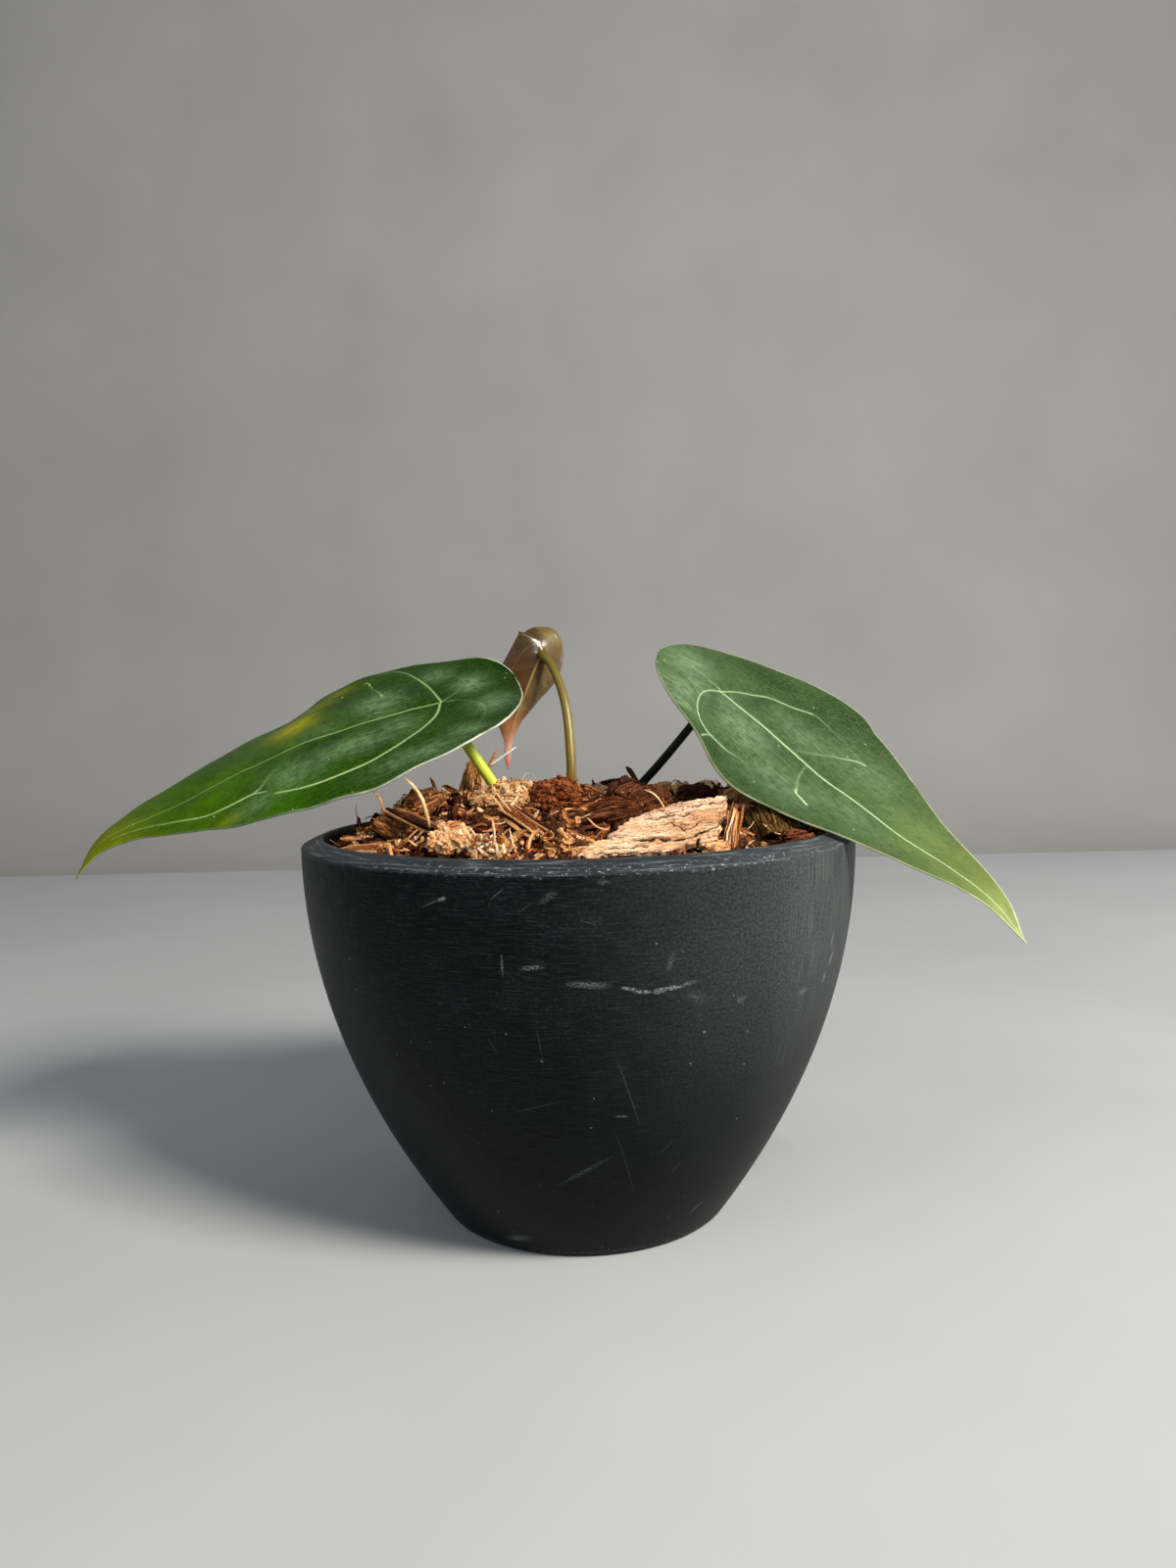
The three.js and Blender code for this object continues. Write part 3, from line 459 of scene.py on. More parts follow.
def bark_skin():
    """Weathered conifer bark: thin papery layers, silvery tan where they have split away,
    with dark cracks along the grain."""
    material, tree = new_material("weathered_bark")
    grain = add(tree, "Attribute", attribute_name="grain").outputs["Vector"]
    hollow = add(tree, "Attribute", attribute_name="hollow").outputs["Fac"]
    wide = add(tree, "Mapping", grain, Scale=(0.09, 0.5, 0.5))
    layers = add(tree, "TexNoise", wide, 1.0, 5, 0.6)
    narrow = add(tree, "Mapping", grain, Scale=(0.35, 3.2, 3.2))
    fine = add(tree, "TexNoise", narrow, 1.0, 4, 0.6)
    broad = add(tree, "Mapping", grain, Scale=(0.12, 0.25, 0.25))
    patches = add(tree, "TexNoise", broad, 1.0, 3, 0.55)
    long = add(tree, "Mapping", grain, Location=(7, 3, 1), Scale=(0.06, 0.75, 0.75))
    lines = add(tree, "TexNoise", long, 1.0, 4, 0.6)
    slits = add(tree, "step", add(tree, "unsigned", add(tree, "minus", lines, 0.5)), 0.016, 0.004)
    colour = add(tree, "ValToRGB", layers,
                 stops=[(0.3, "a06844"), (0.62, "f7d6b0"), (0.45, "daa97c")])
    colour = add(tree, "blend", add(tree, "step", patches, 0.45, 0.62, 0.0, 0.65), colour,
                 shade("cfae96"))
    colour = add(tree, "blend", add(tree, "step", fine, 0.54, 0.34, 0.0, 0.5), colour,
                 shade("7d4e2e"))
    colour = add(tree, "blend", add(tree, "times", slits, 0.7), colour, shade("3a1f10"))
    # Darker in the cracks and on the plates' edges, and a painted shadow along the seam where the
    # upper plate rests on the lower
    colour = add(tree, "blend", add(tree, "step", hollow, 0.15, 0.95), colour, shade("2c170b"))
    relief = add(tree, "plus", layers, add(tree, "times", fine, 0.5))
    add(tree, "OutputMaterial", add(tree, "BsdfPrincipled", Base_Color=colour, Roughness=0.82,
                                    IOR=1.4, Specular_IOR_Level=0.3,
                                    Normal=add(tree, "Bump", Height=relief, Distance=0.0003,
                                               Strength=0.9)))
    return material


def root_skin():
    """Live aroid root: corky and pale, with a grey felt that is a little green."""
    material, tree = new_material("felted_root")
    place = add(tree, "TexCoord").outputs["Object"]
    felt = add(tree, "TexNoise", place, 900.0, 5, 0.65)
    colour = add(tree, "ValToRGB", felt, stops=[(0.3, "6d5f36"), (0.7, "c3b78a"), (0.5, "958654")])
    add(tree, "OutputMaterial", add(tree, "BsdfPrincipled", Base_Color=colour, Roughness=0.8,
                                    IOR=1.4,
                                    Normal=add(tree, "Bump", Height=felt, Distance=0.0003,
                                               Strength=0.8)))
    return material


def studio_paper(name, first, second):
    """Matt seamless paper: even, with a very slight mottle and no gloss."""
    material, tree = new_material(name)
    place = add(tree, "TexCoord").outputs["Object"]
    colour = add(tree, "ValToRGB", add(tree, "TexNoise", place, 6.0, 4, 0.55),
                 stops=[(0.3, first), (0.7, second)])
    add(tree, "OutputMaterial", add(tree, "BsdfPrincipled", Base_Color=colour, Roughness=0.9,
                                    Specular_IOR_Level=0.2))
    return material


# Shape helpers

def catmull_rom(points, count):
    """count + 1 points, evenly spaced by length, on a smooth path through the given ones."""
    known = [Vector(p) for p in points]
    known = [2 * known[0] - known[1], *known, 2 * known[-1] - known[-2]]
    fine = [known[1]]
    for a, b, c, d in zip(known, known[1:], known[2:], known[3:]):
        first, middle, last = [max((q - p).length_squared ** 0.25, 1e-4)
                               for p, q in ((a, b), (b, c), (c, d))]
        leaving = ((b - a) / first - (c - a) / (first + middle) + (c - b) / middle) * middle
        arriving = ((c - b) / middle - (d - b) / (middle + last) + (d - c) / last) * middle
        square = 3 * (c - b) - 2 * leaving - arriving
        cube = 2 * (b - c) + leaving + arriving
        for i in range(1, 61):
            t = i / 60
            fine.append(b + leaving * t + square * t ** 2 + cube * t ** 3)
    reach = [0.0]
    for p, q in zip(fine, fine[1:]):
        reach.append(reach[-1] + (q - p).length)
    even = []
    place = 0
    for i in range(count + 1):
        wanted = reach[-1] * i / count
        while place < len(fine) - 2 and reach[place + 1] < wanted:
            place += 1
        step = max(reach[place + 1] - reach[place], 1e-9)
        even.append(fine[place].lerp(fine[place + 1], (wanted - reach[place]) / step))
    return even, reach[-1]


def station_value(values, share):
    place = min(max(share, 0), 1) * (len(values) - 1)
    left = min(int(place), len(values) - 2)
    return values[left] + (values[left + 1] - values[left]) * (place - left)


class Path:
    """A smooth path with its direction and two cross directions at each share of length."""

    def __init__(self, points, count=80):
        self.points, self.length = catmull_rom(points, count)
        self.along = []
        for i in range(count + 1):
            ahead = self.points[min(i + 1, count)] - self.points[max(i - 1, 0)]
            self.along.append(ahead.normalized())
        side = self.along[0].orthogonal().normalized()
        self.side = [side]
        for before, after in zip(self.along, self.along[1:]):
            side = before.rotation_difference(after) @ side
            self.side.append((side - after * side.dot(after)).normalized())

    def at(self, share):
        place = min(max(share, 0), 1) * (len(self.points) - 1)
        i = min(int(place), len(self.points) - 2)
        t = place - i
        point = self.points[i].lerp(self.points[i + 1], t)
        along = self.along[i].lerp(self.along[i + 1], t).normalized()
        side = self.side[i].lerp(self.side[i + 1], t).normalized()
        return point, along, side, along.cross(side)


def stamp(bm, template, place):
    """Adds a copy of a template mesh, each of its points moved by the function place."""
    before = len(bm.verts)
    bm.from_mesh(template)
    bm.verts.ensure_lookup_table()
    added = bm.verts[before:]
    for vert in added:
        vert.co = place(vert.co)
    return added


def kept_mesh(bm, name):
    """Turns a bmesh into a mesh and lets the bmesh go."""
    mesh = bpy.data.meshes.new(name)
    bm.to_mesh(mesh)
    bm.free()
    return mesh


def placed_object(name, data):
    """A new object in the scene, at the origin."""
    thing = bpy.data.objects.new(name, data)
    scene.collection.objects.link(thing)
    return thing


def rod_template(sides, cuts):
    """A closed rod of radius 1 that runs from 0 to 1 along Z."""
    bm = bmesh.new()
    bmesh.ops.create_cone(bm, cap_ends=True, cap_tris=False, segments=sides, radius1=1,
                          radius2=1, depth=1, matrix=Matrix.Translation((0, 0, 0.5)))
    upright = [e for e in bm.edges if abs(e.verts[0].co.z - e.verts[1].co.z) > 0.5]
    bmesh.ops.subdivide_edges(bm, edges=upright, cuts=cuts, use_grid_fill=True)
    return kept_mesh(bm, "rod")


def finished(name, bm, materials, slot, nodes=(), smooth=True):
    """Makes a piece from a bmesh in millimetres and rides it on the root; slot is not used."""
    bmesh.ops.scale(bm, vec=(MM, MM, MM), verts=bm.verts)
    mesh = kept_mesh(bm, name)
    for polygon in mesh.polygons:
        polygon.use_smooth = smooth
    piece = placed_object(name, mesh)
    for material in materials:
        mesh.materials.append(material)
    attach(piece, "root")
    if nodes:
        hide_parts(*nodes)
    return piece


def node_copy(node):
    """A CAD node's own shape as one joined mesh, in millimetres."""
    bm = bmesh.new()
    bm.from_mesh(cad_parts[node].data)
    bmesh.ops.remove_doubles(bm, verts=bm.verts, dist=1e-6)
    bmesh.ops.scale(bm, vec=(1000, 1000, 1000), verts=bm.verts)
    return bm


def evened(bm, voxel):
    """A mesh of the same closed shape with an even grid of small faces all over."""
    mesh = bpy.data.meshes.new("work")
    bm.to_mesh(mesh)
    holder = bpy.data.objects.new("work", mesh)
    scene.collection.objects.link(holder)
    modifier = holder.modifiers.new("even", "REMESH")
    modifier.mode = "VOXEL"
    modifier.voxel_size = voxel
    graph = bpy.context.evaluated_depsgraph_get()
    even = bpy.data.meshes.new_from_object(holder.evaluated_get(graph))
    bm.free()
    bpy.data.objects.remove(holder)
    bpy.data.meshes.remove(mesh)
    return even


def own_axes(bm):
    """The middle of a shape, and its directions from the longest to the thinnest."""
    places = numpy.array([v.co for v in bm.verts])
    middle = places.mean(0)
    _, directions = numpy.linalg.eigh(numpy.cov((places - middle).T))
    along = (places - middle) @ directions
    middle = middle + directions @ ((along.min(0) + along.max(0)) / 2)
    return Vector(middle), [Vector(directions[:, i]) for i in (2, 1, 0)]


# Pot

def outer_radius(height):
    left = max(0, 1 - height / BRIM_HEIGHT)
    return BRIM_RADIUS - (BRIM_RADIUS - FOOT_RADIUS) * left ** WALL_BULGE


def inner_radius(height):
    wall = FOOT_WALL + (BRIM_WALL - FOOT_WALL) * height / BRIM_HEIGHT
    return outer_radius(height) - wall


def make_pot():
    """The wall is spun from its profile; the drain holes are cut through the floor."""
    heights = [POT_FLOOR + (BRIM_HEIGHT - POT_FLOOR) * i / 30 for i in range(30)]
    profile = [(0, 0.5), (29, 0.5), (30.5, 0), (32.7, 0), (33.2, 0.25),
               (outer_radius(0.8), 0.8), (outer_radius(2), 2)]
    profile += [(outer_radius(h), h) for h in heights]
    profile += [(64.96, 87.9), (65, 88.3), (64.8, 88.62), (63.9, 89.1), (62.5, 89.75),
                (61.2, 90.3), (60.5, 90.48), (60.15, 90.35), (60.0, 90.0), (60.0, 88.6)]
    profile += [(inner_radius(h), h) for h in reversed(heights)]
    profile += [(0, POT_FLOOR)]
    bm = bmesh.new()
    verts = [bm.verts.new((radius, 0, height)) for radius, height in profile]
    edges = [bm.edges.new(pair) for pair in zip(verts, verts[1:])]
    bmesh.ops.spin(bm, geom=verts + edges, cent=(0, 0, 0), axis=(0, 0, 1), angle=math.tau,
                   steps=180, use_merge=True)
    bmesh.ops.remove_doubles(bm, verts=bm.verts, dist=0.001)
    bmesh.ops.recalc_face_normals(bm, faces=bm.faces)
    for vert in bm.verts:
        if vert.co.z > 87:
            wear = noise.noise(vert.co * 0.6) * 0.05 + noise.noise(vert.co * 0.12) * 0.08
            out = Vector((vert.co.x, vert.co.y, 0)).normalized()
            vert.co += (-out * 0.6 - Vector((0, 0, 0.8))) * abs(wear)
    bmesh.ops.scale(bm, vec=(MM, MM, MM), verts=bm.verts)
    piece = placed_object("pot_wall", kept_mesh(bm, "pot_wall"))

    bm = bmesh.new()
    for i in range(DRAIN_HOLES):
        angle = math.tau * (i + 0.5) / DRAIN_HOLES
        at = Vector((DRAIN_RING * math.cos(angle), DRAIN_RING * math.sin(angle), 2))
        bmesh.ops.create_cone(bm, cap_ends=True, segments=40, radius1=DRAIN_RADIUS,
                              radius2=DRAIN_RADIUS, depth=12, matrix=Matrix.Translation(at))
    bmesh.ops.scale(bm, vec=(MM, MM, MM), verts=bm.verts)
    cutter = placed_object("cutter", kept_mesh(bm, "cutter"))
    holes = piece.modifiers.new("holes", "BOOLEAN")
    holes.object = cutter
    holes.operation = "DIFFERENCE"
    graph = bpy.context.evaluated_depsgraph_get()
    cut = bpy.data.meshes.new_from_object(piece.evaluated_get(graph))
    piece.modifiers.clear()
    piece.data = cut
    bpy.data.objects.remove(cutter)
    cut.materials.clear()
    cut.materials.append(pot_plastic())
    for polygon in cut.polygons:
        polygon.use_smooth = True
    cut.set_sharp_from_angle(angle=math.radians(38))
    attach(piece, "root")
    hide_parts("pot")


# Leaf blades

class Blade:
    """A blade's surface: s runs from its base lobe to its drip tip, a from side to side."""

    def __init__(self, values):
        self.values = values
        self.points, self.length = catmull_rom(values["rib"], RIB_STEPS)

    def half_width(self, s):
        v = self.values
        if s < v["widest_at"]:
            return v["half_width"] * (1 - (1 - max(s, 0) / v["widest_at"]) ** v["base"]) ** (
                1 / v["base"])
        past = min(1, (s - v["widest_at"]) / (1 - v["widest_at"]))
        return v["half_width"] * (1 - past ** v["shoulder"]) ** v["taper"]

    def half_at(self, s, a):
        """The half width on one side, where that side differs from the other."""
        own = "right_half" if a > 0 else "left_half"
        return (self.half_width(s) * station_value(self.values[own], s)
                * float(numpy.interp(s, *self.values["tip_half"])))

    def axes(self, s):
        place = min(max(s, 0), 1) * RIB_STEPS
        i = min(int(place), RIB_STEPS - 1)
        point = self.points[i].lerp(self.points[i + 1], place - i)
        low, high = max(i - 1, 0), min(i + 2, RIB_STEPS)
        along = (self.points[high] - self.points[low]).normalized()
        level = along.cross(Vector(self.values["facing"])).normalized()
        turning = math.radians(station_value(self.values["turning"], s))
        right = Quaternion(along, turning) @ level
        return point, along, right, right.cross(along)

    def at(self, s, a, rise=0.0):
        v = self.values
        point, _, right, above = self.axes(s)
        half = self.half_at(s, a)
        side = 1 if a > 0 else -1 if a < 0 else 0
        phase = math.tau * BLADE_WAVES * s + BLADE_WAVE_SHIFT * side
        waves = v["ripple"] * math.sin(phase) * a ** 4 * half / v["half_width"]
        lift = -station_value(v["cup"], s) * half * a ** 2 + waves + rise
        near_base = math.exp(-((s - RAISED_AT) / RAISED_REACH) ** 2)
        shoulder = v["left_raise"] * near_base * max(0, -a)
        return point + right * (half * a) + above * lift + Vector((0, 0, shoulder))

    def flat(self, s, a):
        return Vector((a * self.half_at(s, a), s * self.length))


def distances(places, line):
    """Each place's distance to a line of points, and the share of the line at the nearest."""
    best = numpy.full(len(places), 1e9)
    share = numpy.zeros(len(places))
    for i, (start, end) in enumerate(zip(line, line[1:])):
        start, step = numpy.array(start), numpy.array(end) - numpy.array(start)
        t = numpy.clip(((places - start) @ step) / max(step @ step, 1e-12), 0, 1)
        away = numpy.linalg.norm(places - start - t[:, None] * step, axis=1)
        nearer = away < best
        best[nearer] = away[nearer]
        share[nearer] = ((i + t) / (len(line) - 1))[nearer]
    return best, share


def drawn_lines(blade, veins):
    """Each vein as points on the flattened blade, with its half width and strengths."""
    lines = []
    for points, width, strengths, depth in veins:
        even, _ = catmull_rom([(s * 100, a * 20, 0) for s, a in points], 40)
        flat = [tuple(blade.flat(p.x / 100, p.y / 20)) for p in even]
        lines.append((flat, width, strengths, depth))
    return lines


def side_veins(junction, count, spread, reach, strength):
    """Pairs of side veins that leave the midrib and bow towards the tip near the margin."""
    veins = []
    for i in range(count):
        start = junction + 0.03 + (0.86 - junction) * (i / count) ** 1.08
        for side in (-1, 1):
            jitter = 0.012 * math.sin(7.3 * i + 2 * side)
            points = [(start + jitter, 0),
                      (start + jitter + spread * 0.22, side * 0.3 * reach),
                      (start + jitter + spread * 0.55, side * 0.66 * reach),
                      (start + jitter + spread, side * reach)]
            veins.append(([(min(s, 0.985), a) for s, a in points], 0.32,
                          (strength, strength * 0.8, strength * 0.3), 0.05))
    return veins


def make_blade(name, values, veins, faint, skin, underside, slot, grid, thick, quilt, rim_at,
               tints_at, frill):
    """A blade on a fine grid: its veins are pressed into the upper face and stand out below,
    the flesh between them swells, and its marks are kept as attributes for the skin."""
    blade = Blade(values)
    bm = bmesh.new()
    bmesh.ops.create_grid(bm, x_segments=grid[0], y_segments=grid[1], size=1)
    for vert in bm.verts:
        v = (vert.co.y + 1) / 2
        vert.co.y = (v + (1 - math.cos(math.pi * v)) / 2) / 2
    lines = drawn_lines(blade, veins)
    thin = drawn_lines(blade, faint)

    def flat_places():
        return numpy.array([blade.flat(v.co.y, v.co.x) for v in bm.verts])

    near = numpy.full(len(bm.verts), 1e9)
    for line, _, _, _ in lines:
        near = numpy.minimum(near, distances(flat_places(), line)[0])
    bm.verts.ensure_lookup_table()
    close = {v for v, away in zip(bm.verts, near) if away < 1.1}
    edges = [e for e in bm.edges if e.verts[0] in close and e.verts[1] in close]
    bmesh.ops.subdivide_edges(bm, edges=edges, cuts=1, use_grid_fill=True)
    bmesh.ops.triangulate(bm, faces=[f for f in bm.faces if len(f.verts) > 4])

    places = flat_places()
    strength = numpy.zeros(len(places))
    dip = numpy.zeros(len(places))
    for line, width, strengths, depth in lines:
        away, share = distances(places, line)
        fade = numpy.interp(share, numpy.linspace(0, 1, len(strengths)), strengths)
        strength = numpy.maximum(strength, fade * numpy.exp(-(away / (width * 0.56)) ** 2))
        dip = numpy.maximum(dip, depth * numpy.minimum(1, fade * 1.6)
                            * (0.65 * numpy.exp(-(away / (width * 1.7)) ** 2)
                               + 0.6 * numpy.exp(-(away / 2.6) ** 2)))
    net = numpy.zeros(len(places))
    gap = numpy.full(len(places), 6.0)
    for line, width, strengths, _ in thin:
        away, share = distances(places, line)
        fade = numpy.interp(share, numpy.linspace(0, 1, len(strengths)), strengths)
        net = numpy.maximum(net, fade * numpy.exp(-(away / width) ** 2))
        gap = numpy.minimum(gap, away)

    placed = bm.verts.layers.float_vector.new("blade_place")
    shared = bm.verts.layers.float_vector.new("blade_share")
    marked = bm.verts.layers.float_vector.new("blade_marks")
    tinted = bm.verts.layers.float_vector.new("blade_tints")
    for i, vert in enumerate(bm.verts):
        a, s = vert.co.x, vert.co.y
        half = blade.half_width(s)
        edge = (1 - abs(a)) * half
        swell = quilt[0] * noise.noise(Vector((*places[i], 3)) * quilt[1])
        swell += quilt[2] * math.sqrt(min(gap[i], 3.0) / 3.0)
        wave = frill * noise.noise(Vector((s * 13, math.copysign(3, a), quilt[1] * 50)))
        rise = (swell - dip[i]) * min(1, edge / 1.5) - 0.12 * net[i] + wave * abs(a) ** 6
        vert[placed] = (*places[i], 0)
        vert[shared] = (a, s, edge)
        vert[marked] = (strength[i], net[i], rim_at(s, a, edge))
        vert[tinted] = tints_at(s, a, Vector((places[i][0], places[i][1], 0)))
        vert.co = blade.at(s, a, rise)
    bmesh.ops.remove_doubles(bm, verts=bm.verts, dist=0.02)
    bmesh.ops.recalc_face_normals(bm, faces=bm.faces)
    up = Vector(values["facing"])
    total = sum((f.normal * f.calc_area() for f in bm.faces), Vector())
    if total.dot(up) < 0:
        bmesh.ops.reverse_faces(bm, faces=bm.faces)
    piece = finished(name, bm, [skin, underside], slot, [name])
    group = piece.vertex_groups.new(name="flesh")
    edges = piece.data.attributes["blade_share"].data
    for i, item in enumerate(edges):
        group.add([i], min(1, 0.35 + item.vector[2] / 1.6), "REPLACE")
    wall = piece.modifiers.new("thickness", "SOLIDIFY")
    wall.thickness = thick * MM
    wall.offset = 0
    wall.use_even_offset = False
    wall.vertex_group = "flesh"
    wall.thickness_vertex_group = 0.3
    wall.material_offset = 1
    wall.material_offset_rim = 0
    return piece


LEFT_JUNCTION = 0.17
RIGHT_JUNCTION = 0.16
NEW_JUNCTION = 0.2

LEFT_VEINS = [
    ([(0.17, 0), (0.27, -0.01), (0.4, -0.01), (0.54, 0.02), (0.68, 0.0), (0.8, -0.04), (0.95, 0)],
     0.4, (0.85, 0.7, 0.6, 0.36, 0.22, 0.06), 0.32),
    ([(0.17, 0), (0.187, 0.38), (0.21, 0.66), (0.23, 0.84), (0.253, 0.93), (0.285, 0.95)],
     0.42, (0.8, 0.6, 0.5, 0.35, 0.1), 0.28),
    ([(0.173, 0), (0.187, -0.21), (0.213, -0.36), (0.267, -0.54), (0.317, -0.62), (0.373, -0.68),
      (0.443, -0.71), (0.5, -0.7), (0.553, -0.67)], 0.46, (0.8, 0.8, 0.9, 1, 0.9, 0.5), 0.34),
    ([(0.547, -0.33), (0.563, -0.41), (0.58, -0.5), (0.6, -0.55)], 0.32, (0.0, 0.4, 0.9), 0.16),
    ([(0.57, -0.6), (0.6, -0.55), (0.627, -0.57), (0.67, -0.61), (0.713, -0.65), (0.767, -0.6),
      (0.823, -0.5), (0.9, -0.4)], 0.4, (0.4, 1, 0.7, 0.65, 0.4, 0.25, 0.1), 0.2),
    ([(0.32, 0.79), (0.313, 0.82), (0.303, 0.61), (0.293, 0.49), (0.288, 0.36)],
     0.24, (0.3, 0.8, 0.1, 0.5, 0.9), 0.03),
    ([(0.17, 0.0), (0.13, -0.1), (0.105, -0.22), (0.09, -0.4), (0.095, -0.6), (0.12, -0.74)],
     0.36, (0.4, 0.1, 0.14, 0.1, 0.0), 0.3),
    ([(0.17, 0.0), (0.135, 0.1), (0.11, 0.28), (0.12, 0.5), (0.15, 0.7)],
     0.36, (0.4, 0.1, 0.08, 0.0), 0.3),
]
RIGHT_VEINS = [
    ([(0.163, 0), (0.26, 0.01), (0.347, 0), (0.43, 0), (0.56, 0.0), (0.68, 0.02), (0.82, 0.01),
      (0.9, 0), (0.97, 0)], 0.44, (0.9, 0.95, 0.95, 0.95, 0.9, 0.7, 0.4), 0.28),
    ([(0.163, 0), (0.148, 0.1), (0.137, 0.28), (0.14, 0.45), (0.153, 0.62), (0.18, 0.76),
      (0.217, 0.8), (0.26, 0.74), (0.297, 0.68), (0.33, 0.62), (0.38, 0.62)],
     0.38, (0.8, 0.7, 0.7, 0.85, 0.9, 0.8, 0.08, 0.0), 0.4),
    ([(0.163, 0), (0.19, -0.22), (0.22, -0.36), (0.24, -0.45), (0.267, -0.49), (0.293, -0.52),
      (0.327, -0.59)], 0.38, (0.7, 0.7, 0.75, 0.8, 0.75), 0.35),
    ([(0.327, -0.59), (0.387, -0.57), (0.443, -0.59), (0.5, -0.59), (0.56, -0.64), (0.64, -0.6)],
     0.34, (0.3, 0.08, 0.06, 0.12, 0.05, 0.0), 0.22),
    ([(0.363, 0.0), (0.397, -0.12), (0.437, -0.34), (0.48, -0.54), (0.5, -0.59)],
     0.3, (0.1, 0.18, 0.25, 0.6, 1), 0.15),
    ([(0.417, 0.0), (0.433, 0.26), (0.45, 0.42), (0.458, 0.5)],
     0.28, (0.15, 0.3, 0.3, 0.45), 0.14),
    ([(0.452, 0.46), (0.46, 0.52), (0.473, 0.55), (0.493, 0.61)],
     0.44, (0.8, 1, 0.9, 1), 0.02),
    ([(0.163, -0.02), (0.113, -0.07), (0.073, -0.16), (0.053, -0.24)],
     0.36, (0.45, 0.2, 0.1, 0.0), 0.3),
    ([(0.163, 0.02), (0.12, 0.14), (0.09, 0.28), (0.11, 0.33), (0.14, 0.42)],
     0.34, (0.1, 0.05, 0.15, 0.05), 0.2),
    ([(0.215, 0.95), (0.22, 0.88), (0.236, 0.76)], 0.4, (0.7, 0.5, 0.2), 0.1),
]
NEW_VEINS = [
    ([(0.19, 0), (0.35, 0), (0.55, 0), (0.75, 0), (0.93, 0)], 0.34, (1, 0.9, 0.8, 0.5, 0.2), 0.3),
    ([(0.19, 0), (0.19, 0.3), (0.26, 0.58), (0.4, 0.66), (0.6, 0.6), (0.8, 0.5)],
     0.26, (0.2, 0.1, 0.05, 0.0), 0.06),
    ([(0.19, 0), (0.19, -0.3), (0.26, -0.58), (0.4, -0.66), (0.6, -0.6), (0.8, -0.5)],
     0.26, (0.2, 0.1, 0.05, 0.0), 0.06),
]


def flattened(blade, spots):
    """Soft oval spots on the flattened blade, from s, a, half length and width, strength."""
    return [(blade.flat(s, a), long, wide, strength) for s, a, long, wide, strength in spots]


def spots_at(spots, here):
    """How strongly the spots reach a place on the flattened blade."""
    reach = 0
    for there, long, wide, strength in spots:
        away = ((here.y - there.y) / long) ** 2 + ((here.x - there.x) / wide) ** 2
        if away < 6:
            reach = max(reach, strength * math.exp(-away))
    return reach


# Spots on the blades as s, a, half length, half width and strength: painted sheen, that is
# reflected light painted grey; yellowing; and the darkest green, partly painted shade
LEFT_PAINTED_SHEEN = [(0.1, 0.25, 4, 5, 0.9), (0.07, -0.4, 5, 5, 0.8), (0.14, -0.75, 5, 3, 0.6),
              (0.3, 0.25, 6, 6, 0.8), (0.37, -0.35, 12, 4, 0.7), (0.5, -0.45, 8, 5, 0.6),
              (0.16, 0.6, 4, 4, 0.6), (0.24, -0.82, 12, 3.5, 0.6), (0.6, -0.75, 6, 3, 0.5),
              (0.27, -0.25, 5, 4, 0.6), (0.43, 0.1, 8, 3, 0.3)]
LEFT_RIPE = [(0.485, 0.5, 6, 6, 0.95), (0.44, 0.75, 6, 4, 0.45), (0.38, 0.85, 5, 3, 0.35),
             (0.665, -0.88, 4, 1.6, 0.3), (0.92, 0.1, 8, 8, 0.3)]
LEFT_DEEP = [(0.22, 0.3, 4, 6, 0.9), (0.14, -0.1, 4, 5, 0.9), (0.02, 0.3, 3, 9, 0.9),
             (0.12, 0.55, 3, 3, 0.7), (0.1, -0.1, 3, 3, 0.7), (0.42, -0.15, 6, 3, 0.8),
             (0.33, -0.88, 14, 3, 0.6), (0.33, -0.5, 5, 3, 0.6), (0.47, -0.3, 4, 5, 0.6),
             (0.35, 0.5, 6, 4, 0.5)]
RIGHT_PAINTED_SHEEN = [(0.07, -0.1, 6, 7, 0.8), (0.12, 0.25, 4, 3, 0.7), (0.1, 0.6, 6, 5, 0.8),
               (0.27, 0.3, 10, 6, 0.7), (0.42, 0.5, 12, 7, 0.5), (0.35, -0.25, 10, 4, 0.45),
               (0.55, 0.3, 12, 6, 0.35), (0.12, 0.85, 5, 2, 0.9), (0.2, 0.1, 5, 4, 0.5),
               (0.5, -0.45, 10, 6, 0.4), (0.62, -0.35, 12, 5, 0.2)]
RIGHT_RIPE = [(0.86, 0, 14, 9, 0.5), (0.62, -0.3, 14, 6, 0.15)]
RIGHT_DEEP = [(0.2, -0.78, 10, 4.5, 1.0), (0.24, -0.3, 4, 4, 1.0), (0.36, -0.6, 7, 4, 0.7),
              (0.4, -0.85, 10, 4, 1.0), (0.27, 0.9, 7, 3.5, 1.0), (0.37, 0.85, 8, 3.5, 0.9),
              (0.18, 0.4, 4, 5, 0.8), (0.55, -0.88, 6, 2, 0.5), (0.5, 0.75, 10, 4, 0.5),
              (0.08, -0.75, 5, 3, 0.6)]


def new_thin_and_lit_side(s, a):
    """Thinner on its right side and at the right of its base lobe, and painted light there, on the
    parts that face the light.
    """
    right = min(1, max(0, a * 4 + 0.2)) * (0.55 if s < 0.6 else 0.3)
    lobe = math.exp(-((s - 0.1) / 0.08) ** 2) * min(1, max(0, a * 2.5 + 0.5)) * 0.9
    return max(right, lobe)


def tints_of(values, *lists):
    """A function from s, a and the flattened place to painted sheen, ripeness and depth of green,
    the last partly painted shade.
    """
    spots = [flattened(Blade(values), own) for own in lists]

    def tints_at(s, a, here):
        return [spots_at(own, here) for own in spots]
    return tints_at


def thread(width, strength, edge, s, a, seed):
    """A thin clear margin whose width frays along the blade."""
    fray = 0.3 * noise.noise(Vector((s * 70, a * 3, seed)))
    worn = 0.75 + 0.5 * noise.noise(Vector((s * 25, a * 2, seed + 9)))
    return min(1, strength * worn) * max(0, min(1, (width * (1 + fray) - edge) / 0.3))


